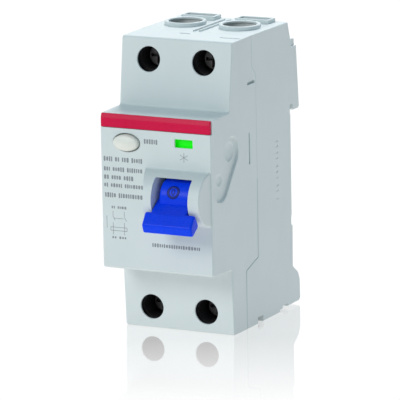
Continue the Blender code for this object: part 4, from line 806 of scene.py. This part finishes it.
def make_clip(sizes):
    """The clip: its side outline carried across the width, with guide ribs and a slot to lever it by."""
    edge = sizes.edge_round * 0.8
    clip = column("rail_clip", side_line(CLIP_LINE, edge), "X", block_stops(-CLIP_HALF, CLIP_HALF, edge))
    ribs = block("ribs", around(0, 10.2 * MM), (-5.0 * MM, -3.6 * MM), (-38.8 * MM, -20.4 * MM), 0.2 * MM, 0.2 * MM)
    stops = [(CLIP_BACK - 10 * MM, 0), *well_stops(CLIP_BACK, 8.0 * MM, -1, 0.3 * MM)[::-1]]
    slot = column("lever_slot", oblong(around(0, 3 * MM), (-39.4 * MM, -37.2 * MM), 0.5 * MM), "Y", stops)
    grooves = [
        block("groove", around(0, 6.5 * MM), (0.1 * MM, 1.0 * MM), around(z * MM, 0.35 * MM), 0.2 * MM, 0.15 * MM)
        for z in CLIP_GROOVES
    ]
    return settle(cut(fuse(clip, ribs), slot, *grooves), "rail_clip", "housing_plastic", "din_clip")


STRIP_THICK, STRIP_PROUD, STRIP_FOLD = 0.75 * MM, 0.1 * MM, 1.3 * MM


def make_strip():
    """The coloured strip: a folded section carried across the nose."""
    low, high = STRIP_Z
    inner, outer = FRONT_Y + STRIP_THICK, FRONT_Y - STRIP_PROUD
    corners = [(inner, low), (outer, low), (outer, high - STRIP_FOLD), (FRONT_Y + 0.3 * MM, high), (inner, high)]
    line = outline(corners, [r * MM for r in (0.1, 0.2, 0.35, 0.2, 0.1)], 0.2 * MM)
    strip = column("colour_strip", line, "X", block_stops(-SIDE + SNUG, SIDE - SNUG, 0.3 * MM))
    return settle(strip, "housing", "strip_red", "identification_strip")


# Front controls ------------------------------------------------------------------------

TOGGLE_REST = math.radians(33)
CARRIER = (-12.0 * MM, 4.0 * MM)
CONTACT_SWING = math.radians(14)
CRANK_R = 3.2 * MM
ROD_R = 0.55 * MM
CRANK_DEPTH = 3.4 * MM
SPRING_DEPTH, SPRING_ROOM_R = 3 * MM, 2.8 * MM
RIM_R, WAIST, RIM_ROUND = 3.2 * MM, 1.1 * MM, 0.7 * MM
GRIP_X = (0.7 * MM, 16.3 * MM)
GRIP_LINE = (
    (-8.3, 2.0, 0.5), (-8.3, -1.7, 0.5), (-9.0, -2.4, 0.6), (-12.4, -2.4, 0.7), (-13.2, -1.7, 0.6),
    (-12.6, 0.7, 1.0), (-9.3, 2.0, 0.9),
)
STEM_LINE = ((-9.4, -2.0), (-3.0, -2.0), (-3.0, 2.0), (-9.4, 2.0))
STEM_ROUND = 0.4 * MM
MARK_LEAN = math.radians(60)


def link_lean():
    """The link rod's slope at rest, from the drum's crank hole to the carrier's crank."""
    reach = CRANK_R * math.sin(TOGGLE_REST) / math.sin(CONTACT_SWING / 2)
    turn, lean = math.pi / 2 + TOGGLE_REST, CONTACT_SWING / 2
    start = (FRONT_Y + CRANK_R * math.cos(turn), CRANK_R * math.sin(turn))
    end = (CARRIER[0] - reach * math.sin(lean), CARRIER[1] - reach * math.cos(lean))
    return math.atan2(end[1] - start[1], end[0] - start[0])


def rod_slot():
    """What the link rod sweeps in the drum, from one end of the throw to the other."""
    low, high = link_lean() - TOGGLE_REST, link_lean() + TOGGLE_REST
    corner, reach, room = np.array((0, CRANK_R)), 2 * DRUM_R, 2 * ROD_R
    ways = {a: np.array((math.cos(a), math.sin(a))) for a in (low, high)}
    under, over = np.array((math.sin(low), -math.cos(low))), np.array((-math.sin(high), math.cos(high)))
    first, last = corner + under * room, corner + over * room
    return [first, first + ways[low] * reach, last + ways[high] * reach, last, corner - ways[high] * room]


def make_toggle(sizes):
    """The lever: a drum with a narrow neck at its left end, a stem and a grip, all drawn level and then turned to rest.
    """
    hub, soft = DRUM_R - sizes.drum_recess, sizes.grip_round
    low, high = DRUM_X
    neck = low + WAIST
    stops = [(low, RIM_R), (neck, RIM_R), *turn_in(neck, RIM_ROUND, 1), *turn_in(high, RIM_ROUND, -1)[::-1]]
    lever = turned("toggle_lever", "X", (0, 0), oval(stops, hub), 128)
    stem_line = outline([(y * MM, z * MM) for y, z in STEM_LINE], STEM_ROUND, STEM_ROUND)
    fuse(
        lever,
        column("stem", stem_line, "X", block_stops(low, high, STEM_ROUND)),
        column("grip", side_line(GRIP_LINE, soft), "X", block_stops(*GRIP_X, soft)),
    )
    cut(
        lever,
        bore("axle_hole", (0, 0), (-SIDE, 2 * SIDE), AXLE_R + SNUG),
        column("rod_slot", outline(rod_slot(), 0.05 * MM), "X", [(x, 0) for x in around(TOGGLE_X, 2 * ROD_R)]),
        bore("crank_hole", (0, CRANK_R), (TOGGLE_X, TOGGLE_X + CRANK_DEPTH), ROD_R + FIT),
        bore("spring_room", (0, 0), (high - SPRING_DEPTH, high + PAST), SPRING_ROOM_R, 32),
    )
    turn = Matrix.Translation((0, FRONT_Y, 0)) @ Matrix.Rotation(TOGGLE_REST, 4, "X")
    settle(lever, "toggle_lever", "toggle_blue", "toggle", turn=turn)
    marks = gathered("toggle_marks", *drum_marks(sizes, hub))
    return settle(marks, "toggle_lever", "toggle_mark", turn=turn)


def wrapped(name, loop, width, angle, hub, height):
    """A raised line on the drum: a closed loop of (along the axis, round the drum) carries a small rounded section.

    The section is a half oval across the loop; a point's distance round the drum over its radius is its angle.
    """
    points = np.array(loop, float)
    ahead = np.roll(points, -1, 0) - np.roll(points, 1, 0)
    ahead /= np.linalg.norm(ahead, axis=1)[:, None]
    side = np.stack([ahead[:, 1], -ahead[:, 0]], 1)
    turn = np.linspace(0, 2 * math.pi, 10, endpoint=False)
    across, up = width / 2 * np.cos(turn), height * np.sin(turn)
    flat = points[None] + across[:, None, None] * side[None]
    radius = hub + up[:, None] * np.ones(len(points))
    bearing = angle + flat[..., 1] / hub
    rings = np.stack([TOGGLE_X + flat[..., 0], -radius * np.cos(bearing), radius * np.sin(bearing)], -1)
    return ring_skin(name, rings)


def loop_of(wide, tall, count=48):
    """A closed oval loop from its two half sizes."""
    angle = np.linspace(0, 2 * math.pi, count, endpoint=False)
    return np.stack([wide * np.cos(angle), tall * np.sin(angle)], 1)


def drum_marks(sizes, hub):
    """The off mark above the stem and the on mark below it, each in its ring."""
    stroke, height = 0.8 * MM, sizes.mark_height
    bar = outline([(x * MM, z * MM) for x, z in ((-0.06, -0.9), (0.06, -0.9), (0.06, 0.9), (-0.06, 0.9))], 0.05 * MM)[0]
    ring, zero = loop_of(1.6 * MM, 1.6 * MM), loop_of(0.45 * MM, 0.8 * MM)
    return [
        wrapped("off_ring", ring, stroke, MARK_LEAN, hub, height),
        wrapped("off_mark", zero, 0.32 * MM, MARK_LEAN, hub, height),
        wrapped("on_ring", ring, stroke, -MARK_LEAN, hub, height),
        wrapped("on_mark", bar, 0.2 * MM, -MARK_LEAN, hub, height),
    ]


BUTTON_ROUND, BUTTON_STEM_R = 0.9 * MM, 1.5 * MM
BUTTON_FLANGE, BUTTON_FLANGE_THICK = 1 * MM, 0.7 * MM


def make_button(sizes):
    """The button: ovals carried from its stem through its flange to a domed face."""
    wide, tall = BUTTON_HALF
    behind = FRONT_Y + WALL + FIT
    face, stem_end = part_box("test_button")[0].y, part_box("test_button")[1].y
    dome, soft = sizes.button_dome, BUTTON_ROUND
    rounding = []
    for t in np.linspace(0, math.pi / 2, 7):
        draw_in = soft * (1 - math.cos(t))
        rounding.append((face + dome + soft * (1 - math.sin(t)), wide - draw_in, tall - draw_in))
    share = np.linspace(1, 0.02, 10)[1:]
    crown = [(face + dome * s * s, (wide - soft) * s, (tall - soft) * s) for s in share]
    flange = (wide + BUTTON_FLANGE, tall + BUTTON_FLANGE)
    back = behind + BUTTON_FLANGE_THICK
    stops = [
        (stem_end, BUTTON_STEM_R, BUTTON_STEM_R), (back, BUTTON_STEM_R, BUTTON_STEM_R), (back, *flange),
        (behind, *flange), (behind, wide, tall), *rounding, *crown,
    ]
    return settle(turned("button_cap", "Y", (BUTTON_X, BUTTON_Z), stops), "button", "button_white", "test_button")


HEAD_R, HEAD_THICK = 3.2 * MM, 2.8 * MM
CORE_R, CREST_R, TIP_R, PITCH = 2.05 * MM, 2.3 * MM, 1.9 * MM, 0.4 * MM
DRIVES = ((2.4 * MM, 0.45 * MM), (0.45 * MM, 2.4 * MM))


def make_screws():
    """Terminal screws: a chamfered head with slot and cross drive, on a shank with ridges at the thread's pitch."""
    for end, up in ENDS:
        for side, x in POLES:
            node = f"terminal_screw_{end}_{side}"
            low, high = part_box(node)[0].y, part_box(node)[1].y
            neck = low + HEAD_THICK
            ridge = np.arange(neck + 0.6 * MM, high - PITCH, PITCH)
            thread = [(y, r, r) for step in ridge for y, r in ((step - PITCH / 2, CORE_R), (step, CREST_R))]
            stops = [
                *oval(turn_in(low, 0.5 * MM, 1), HEAD_R), *oval(turn_in(neck, 0.15 * MM, -1)[::-1], HEAD_R),
                (neck, CORE_R, CORE_R), *thread, (high, TIP_R, TIP_R),
            ]
            z = up * TERMINAL_Z
            head = turned(f"screw_{end}_{side}", "Y", (x, z), stops, 40)
            for wide, tall in DRIVES:
                line = oblong(around(x, wide), around(z, tall), 0.1 * MM)
                cut(head, column("drive", line, "Y", well_stops(low, 1.6 * MM, 1, 0.1 * MM)))
            settle(head, f"screw_{end}_{side}", "dark_steel", node)


# Print on the panel --------------------------------------------------------------------


def dash(x, z, wide, tall, turn=0.0):
    """One flat printed stroke on the panel, with rounded ends."""
    ink = bpy.context.scene.device_sizes.print_height
    corner = min(wide, tall) * 0.45
    points, normals, give = oblong(around(0, wide / 2), around(0, tall / 2), corner)
    c, s = math.cos(turn), math.sin(turn)
    spin = np.array([(c, s), (-s, c)])
    line = (points @ spin + (x, z), normals @ spin, give)
    return column("dash", line, "Y", [(FRONT_Y - ink, 0), (FRONT_Y + 0.05 * MM, 0)])


def row_of_marks(left, right, z, tall, words, rng):
    """A row of plain blocks, spaced like words, that stands for a line of print."""
    made, x, k = [], left, 0
    while x < right - 0.5 * MM:
        wide = rng.uniform(0.35, 0.7) * MM
        made.append(dash(x + wide / 2, z, wide, tall * rng.uniform(0.75, 1.0)))
        k += 1
        x += wide + (0.9 * MM if k in words else 0.24 * MM)
    return made


def make_print():
    """Plain strokes that stand for the printed lines, the test label, the symbol and the circuit drawing."""
    rng = np.random.default_rng(7)
    rows = [
        (-16.6, -4.3, 9.4, 1.5, (4, 6, 9)), (-16.6, -4.1, 6.5, 1.45, (3, 8)), (-16.6, -7.4, 4.1, 1.45, (2, 6)),
        (-16.6, -4.2, 1.8, 1.3, (2, 7)), (-16.4, -4.4, -1.1, 1.5, (5,)), (-3.6, 1.1, 15.3, 1.5, ()),
    ]
    dark = [m for a, b, z, tall, words in rows for m in row_of_marks(a * MM, b * MM, z * MM, tall * MM, words, rng)]
    dark += row_of_marks(-1.6 * MM, 14.2 * MM, -14.6 * MM, 1.2 * MM, (), rng)
    settle(gathered("panel_print", *dark), "housing", "print_grey")
    faint = row_of_marks(-14.4 * MM, -9.6 * MM, -4.6 * MM, 0.9 * MM, (2,), rng)
    faint += row_of_marks(-14.4 * MM, -9.6 * MM, -13.4 * MM, 0.8 * MM, (2,), rng)
    thin = 0.14 * MM
    for x, z, wide, tall, turn in (
        (-14.0, -6.4, thin, 1.4 * MM, 0), (-10.4, -6.4, thin, 1.4 * MM, 0), (-13.7, -7.8, thin, 1.6 * MM, 0.5),
        (-10.1, -7.8, thin, 1.6 * MM, 0.5), (-12.2, -7.8, 3.0 * MM, thin, 0), (-14.0, -10.8, thin, 3.6 * MM, 0),
        (-10.4, -10.8, thin, 3.6 * MM, 0), (-12.2, -10.4, 5.2 * MM, thin, 0), (-12.2, -11.4, 5.2 * MM, thin, 0),
        (-9.6, -10.9, thin, 1.0 * MM, 0), (-14.8, -10.9, thin, 1.0 * MM, 0), (-16.0, -9.0, thin, 3.6 * MM, 0),
    ):
        faint.append(dash(x * MM, z * MM, wide, tall, turn))
    for turn in (0, math.pi / 3, -math.pi / 3):
        faint.append(dash(9.0 * MM, 11.5 * MM, thin, 2.8 * MM, turn))
    return settle(gathered("panel_symbols", *faint), "housing", "print_grey")


# Inside --------------------------------------------------------------------------------

INNER_FINISHES = {
    "steel": [
        "toggle_axle", "toggle_spring", "link_rod", "contact_spring_left", "contact_spring_right", "mechanism_frame",
        "trip_pin", "relay_plunger", *[f"terminal_cage_{end}_{side}" for end, _ in ENDS for side, _ in POLES],
    ],
    "dark_steel": ["arc_chute_left", "arc_chute_right", "relay_yoke"],
    "sheet_copper": [
        "test_contact", "moving_contact_left", "moving_contact_right",
        *[f"{name}_plate_{side}" for name in ("line", "load") for side, _ in POLES],
    ],
    "copper": ["relay_coil", "sensing_winding"],
    "silver": ["moving_tip_left", "moving_tip_right", "fixed_tip_left", "fixed_tip_right"],
    "black_plastic": [
        "contact_carrier", "trip_lever", "transformer_case", "terminal_block_top", "terminal_block_bottom",
    ],
    "board_green": ["circuit_board"],
    "component_blue": ["test_resistor", "filter_capacitor", "varistor", "test_lead", "sensor_lead"],
    "core_metal": ["transformer_core"],
    "lead_blue": ["primary_lead_left", "primary_lead_right"],
    "flag_green": ["indicator_flag"],
}


def dress_inside():
    """Gives the carried-over nodes their finishes."""
    for name, nodes in INNER_FINISHES.items():
        for node in nodes:
            target = frame["nodes"][node]
            for place in target.material_slots:
                place.material = finish(name)


# Stage ---------------------------------------------------------------------------------

CAMERA_PLACE = (0.529981, -1.072035, 0.250799)
CAMERA_TURN = tuple(math.radians(a) for a in (26.842, 12.387, -1.051))
LENS = 374.01
TOWARDS_VIEWER = (0.45, -0.89, 0.0)
FADE = (0.045, 0.13)  # metres towards the viewer, over which the floor's mirror dies away
FLOOR_HALF, FLOOR_GLOW, FLOOR_ROUGHNESS = 3, 1.04, 0.03
WHITE = (1, 1, 1)
FILL, FILL_STRENGTH, SURROUND_STRENGTH = (0.56, 0.85, 1.0), 0.37, 1.05
LIGHT_SIZE = 0.5
LIGHTS = (
    ("key", (-0.35, -0.9, 0.55), 4.4, (1.0, 0.99, 0.96)),
    ("top_light", (-0.1, 0.6, 0.88), 9.6, (1.0, 0.97, 0.98)),
    ("back_light", (-0.1, 1.0, 0.3), 0.4, (0.97, 0.99, 1.0)),
)


def camera():
    """The camera: placed by its yaw, pitch and roll."""
    yaw, pitch, roll = CAMERA_TURN
    ahead = -Vector((math.sin(yaw) * math.cos(pitch), -math.cos(yaw) * math.cos(pitch), math.sin(pitch)))
    right = ahead.cross(Vector((0, 0, 1))).normalized()
    up = right.cross(ahead)
    c, s = math.cos(roll), math.sin(roll)
    turn = Matrix((c * right + s * up, -s * right + c * up, -ahead)).transposed().to_4x4()
    data = bpy.data.cameras.new("camera")
    data.lens, data.sensor_width, data.clip_end = LENS, 36, 100
    made = linked("camera", data)
    made.matrix_world = Matrix.Translation(CAMERA_PLACE) @ turn
    bpy.context.scene.camera = made


def softbox(name, place, power, colour):
    """A round light that faces the origin."""
    data = bpy.data.lights.new(name, "AREA")
    data.shape, data.size, data.energy, data.color = "DISK", LIGHT_SIZE, power, colour
    made = linked(name, data)
    made.location = place
    made.rotation_euler = (-Vector(place)).to_track_quat("-Z", "Y").to_euler()


def floor_paint(sizes):
    """A white glow under a mirror whose strength falls off towards the viewer."""
    paint = bpy.data.materials.new("floor_paint")
    paint.use_nodes = True
    paint.node_tree.nodes.clear()
    g = Nodes(paint.node_tree)
    place = g.node("ShaderNodeTexCoord").outputs["Object"]
    ahead = g.node("ShaderNodeVectorMath", {0: place, 1: TOWARDS_VIEWER}, operation="DOT_PRODUCT").outputs["Value"]
    span = {"From Min": FADE[0], "From Max": FADE[1], "To Min": sizes.floor_gloss, "To Max": 0}
    fade = g.node("ShaderNodeMapRange", {"Value": ahead, **span}).outputs["Result"]
    glow = g.node("ShaderNodeEmission", {"Strength": FLOOR_GLOW}).outputs["Emission"]
    gloss = g.node("ShaderNodeBsdfGlossy", {"Color": WHITE, "Roughness": FLOOR_ROUGHNESS}).outputs["BSDF"]
    mix = g.node("ShaderNodeMixShader", {"Fac": fade, 1: glow, 2: gloss}).outputs["Shader"]
    g.node("ShaderNodeOutputMaterial", {"Surface": mix})
    return paint


def surround():
    """The world: a pale blue fill for the light, and plain white for what the camera and mirrors see."""
    world = bpy.data.worlds.new("surround")
    bpy.context.scene.world = world
    world.use_nodes = True
    world.node_tree.nodes.clear()
    g = Nodes(world.node_tree)
    fill = g.node("ShaderNodeBackground", {"Color": FILL, "Strength": FILL_STRENGTH}).outputs["Background"]
    white = g.node("ShaderNodeBackground", {"Color": WHITE, "Strength": SURROUND_STRENGTH}).outputs["Background"]
    rays = g.node("ShaderNodeLightPath").outputs
    seen = {0: rays["Is Camera Ray"], 1: rays["Is Glossy Ray"]}
    either = g.node("ShaderNodeMath", seen, operation="ADD", use_clamp=True).outputs["Value"]
    mix = g.node("ShaderNodeMixShader", {"Fac": either, 1: fill, 2: white}).outputs["Shader"]
    g.node("ShaderNodeOutputWorld", {"Surface": mix})


def make_stage(sizes):
    """A pale, faintly glossy floor, a soft surround, softboxes and the camera."""
    points = np.array([(-1, -1), (1, -1), (1, 1), (-1, 1)], float) * FLOOR_HALF
    mesh = bpy.data.meshes.new("floor")
    mesh.from_pydata(np.column_stack([points, np.full(4, CAD_LOW.z)]), [], [(0, 1, 2, 3)])
    floor = linked("floor", mesh)
    mesh.materials.append(floor_paint(sizes))
    surround()
    for light in LIGHTS:
        softbox(*light)
    bpy.context.scene.view_settings.view_transform = "Standard"
    camera()


# Add-on --------------------------------------------------------------------------------


def length(name, description, millimetres):
    """A property for a length."""
    default = millimetres * MM
    return FloatProperty(name=name, description=description, default=default, min=0, unit="LENGTH", precision=5)


def colour(name, description, default):
    """A property for a colour."""
    limits = {"size": 3, "min": 0, "max": 1}
    return FloatVectorProperty(name=name, description=description, default=default, subtype="COLOR", **limits)


class DeviceSizes(bpy.types.PropertyGroup):
    """Sizes of the rounding, reliefs and print."""

    edge_round: length("Edge rounding", "Radius along the housing's side edges", 0.4)
    mouth_round: length("Mouth rounding", "Radius round the mouths of the housing's openings", 0.2)
    seam_high: length("Upper seam", "Gap of the parting line above the toggle's axis", SHUT)
    collar_round: length("Collar rounding", "Radius of the cable entries' rims", 0.45)
    pocket_depth: length("Pocket depth", "Depth of the moulded pockets in the housing", 0.8)
    drum_recess: length("Drum recess", "How far the drum lies below its full radius", 0.7)
    mark_height: length("Mark height", "How far the on and off marks stand out of the drum", 0.12)
    grip_round: length("Grip rounding", "Radius of the grip's end edges", 0.6)
    button_dome: length("Button dome", "How far the button's face crowns", 0.45)
    print_height: length("Print height", "Thickness of the ink on the panel", 0.02)
    floor_gloss: FloatProperty(
        name="Floor gloss", description="Share of the floor that mirrors at the device",
        default=0.5, min=0, max=1, subtype="FACTOR",
    )


class DeviceColours(bpy.types.PropertyGroup):
    """Colours of the outer pieces."""

    housing: colour("Housing", "Both shells and the rail clip", (0.635, 0.695, 0.7))
    strip: colour("Strip", "The strip across the nose", (0.64, 0.006, 0.06))
    toggle: colour("Toggle", "The lever", (0.0, 0.05, 0.85))
    mark: colour("Marks", "The on and off marks on the drum", (0.0, 0.012, 0.2))
    button: colour("Button", "The test button", (0.74, 0.75, 0.69))
    flag_off: colour("Flag, off", "The flag's lower part, which shows when the device is off", (0.0, 0.85, 0.0))
    flag_on: colour("Flag, on", "The flag's upper part, which shows when the device is on", (0.7, 0.02, 0.02))
    print_ink: colour("Print", "Strokes printed on the panel", (0.24, 0.27, 0.29))


class BuildCover(bpy.types.Operator):
    """Build the front cover with its boss and openings"""

    bl_idname = "device.cover"
    bl_label = "Build cover"

    def execute(self, context):
        make_cover(context.scene.device_sizes)
        return {"FINISHED"}


class BuildBase(bpy.types.Operator):
    """Build the rear base with its cable entries, rail hook and foot"""

    bl_idname = "device.base"
    bl_label = "Build base"

    def execute(self, context):
        make_base(context.scene.device_sizes)
        return {"FINISHED"}


class BuildClip(bpy.types.Operator):
    """Build the sliding rail clip"""

    bl_idname = "device.clip"
    bl_label = "Build rail clip"

    def execute(self, context):
        make_clip(context.scene.device_sizes)
        return {"FINISHED"}


class BuildStrip(bpy.types.Operator):
    """Build the coloured strip across the nose"""

    bl_idname = "device.strip"
    bl_label = "Build strip"

    def execute(self, context):
        make_strip()
        return {"FINISHED"}


class BuildToggle(bpy.types.Operator):
    """Build the lever with its drum and marks"""

    bl_idname = "device.toggle"
    bl_label = "Build toggle"

    def execute(self, context):
        make_toggle(context.scene.device_sizes)
        return {"FINISHED"}


class BuildButton(bpy.types.Operator):
    """Build the domed test button"""

    bl_idname = "device.button"
    bl_label = "Build test button"

    def execute(self, context):
        make_button(context.scene.device_sizes)
        return {"FINISHED"}


class BuildScrews(bpy.types.Operator):
    """Build the four terminal screws"""

    bl_idname = "device.screws"
    bl_label = "Build terminal screws"

    def execute(self, context):
        make_screws()
        return {"FINISHED"}


class BuildPrint(bpy.types.Operator):
    """Build the plain strokes printed on the panel"""

    bl_idname = "device.print"
    bl_label = "Build print"

    def execute(self, context):
        make_print()
        return {"FINISHED"}


class BuildInside(bpy.types.Operator):
    """Give the inner pieces their finishes"""

    bl_idname = "device.inside"
    bl_label = "Finish inner pieces"

    def execute(self, context):
        dress_inside()
        return {"FINISHED"}


class BuildStage(bpy.types.Operator):
    """Build the floor, the lights and the camera"""

    bl_idname = "device.stage"
    bl_label = "Build stage"

    def execute(self, context):
        make_stage(context.scene.device_sizes)
        return {"FINISHED"}


BUILDERS = [
    BuildCover, BuildBase, BuildClip, BuildStrip, BuildToggle, BuildButton,
    BuildScrews, BuildPrint, BuildInside, BuildStage,
]


class DevicePanel(bpy.types.Panel):
    """Lists the device's sizes, colours and build steps"""

    bl_idname = "VIEW3D_PT_device"
    bl_label = "Device"
    bl_space_type = "VIEW_3D"
    bl_region_type = "UI"
    bl_category = "Device"

    def draw(self, context):
        for group in (context.scene.device_sizes, context.scene.device_colours):
            for name in group.__annotations__:
                self.layout.prop(group, name)
        for builder in BUILDERS:
            self.layout.operator(builder.bl_idname)


CLASSES = [DeviceSizes, DeviceColours, *BUILDERS, DevicePanel]


def register():
    for cls in CLASSES:
        bpy.utils.register_class(cls)
    bpy.types.Scene.device_sizes = PointerProperty(type=DeviceSizes)
    bpy.types.Scene.device_colours = PointerProperty(type=DeviceColours)


def unregister():
    del bpy.types.Scene.device_colours
    del bpy.types.Scene.device_sizes
    for cls in reversed(CLASSES):
        bpy.utils.unregister_class(cls)


def main():
    register()
    for builder in BUILDERS:
        group, name = builder.bl_idname.split(".")
        getattr(getattr(bpy.ops, group), name)()


if __name__ == "__main__":
    main()
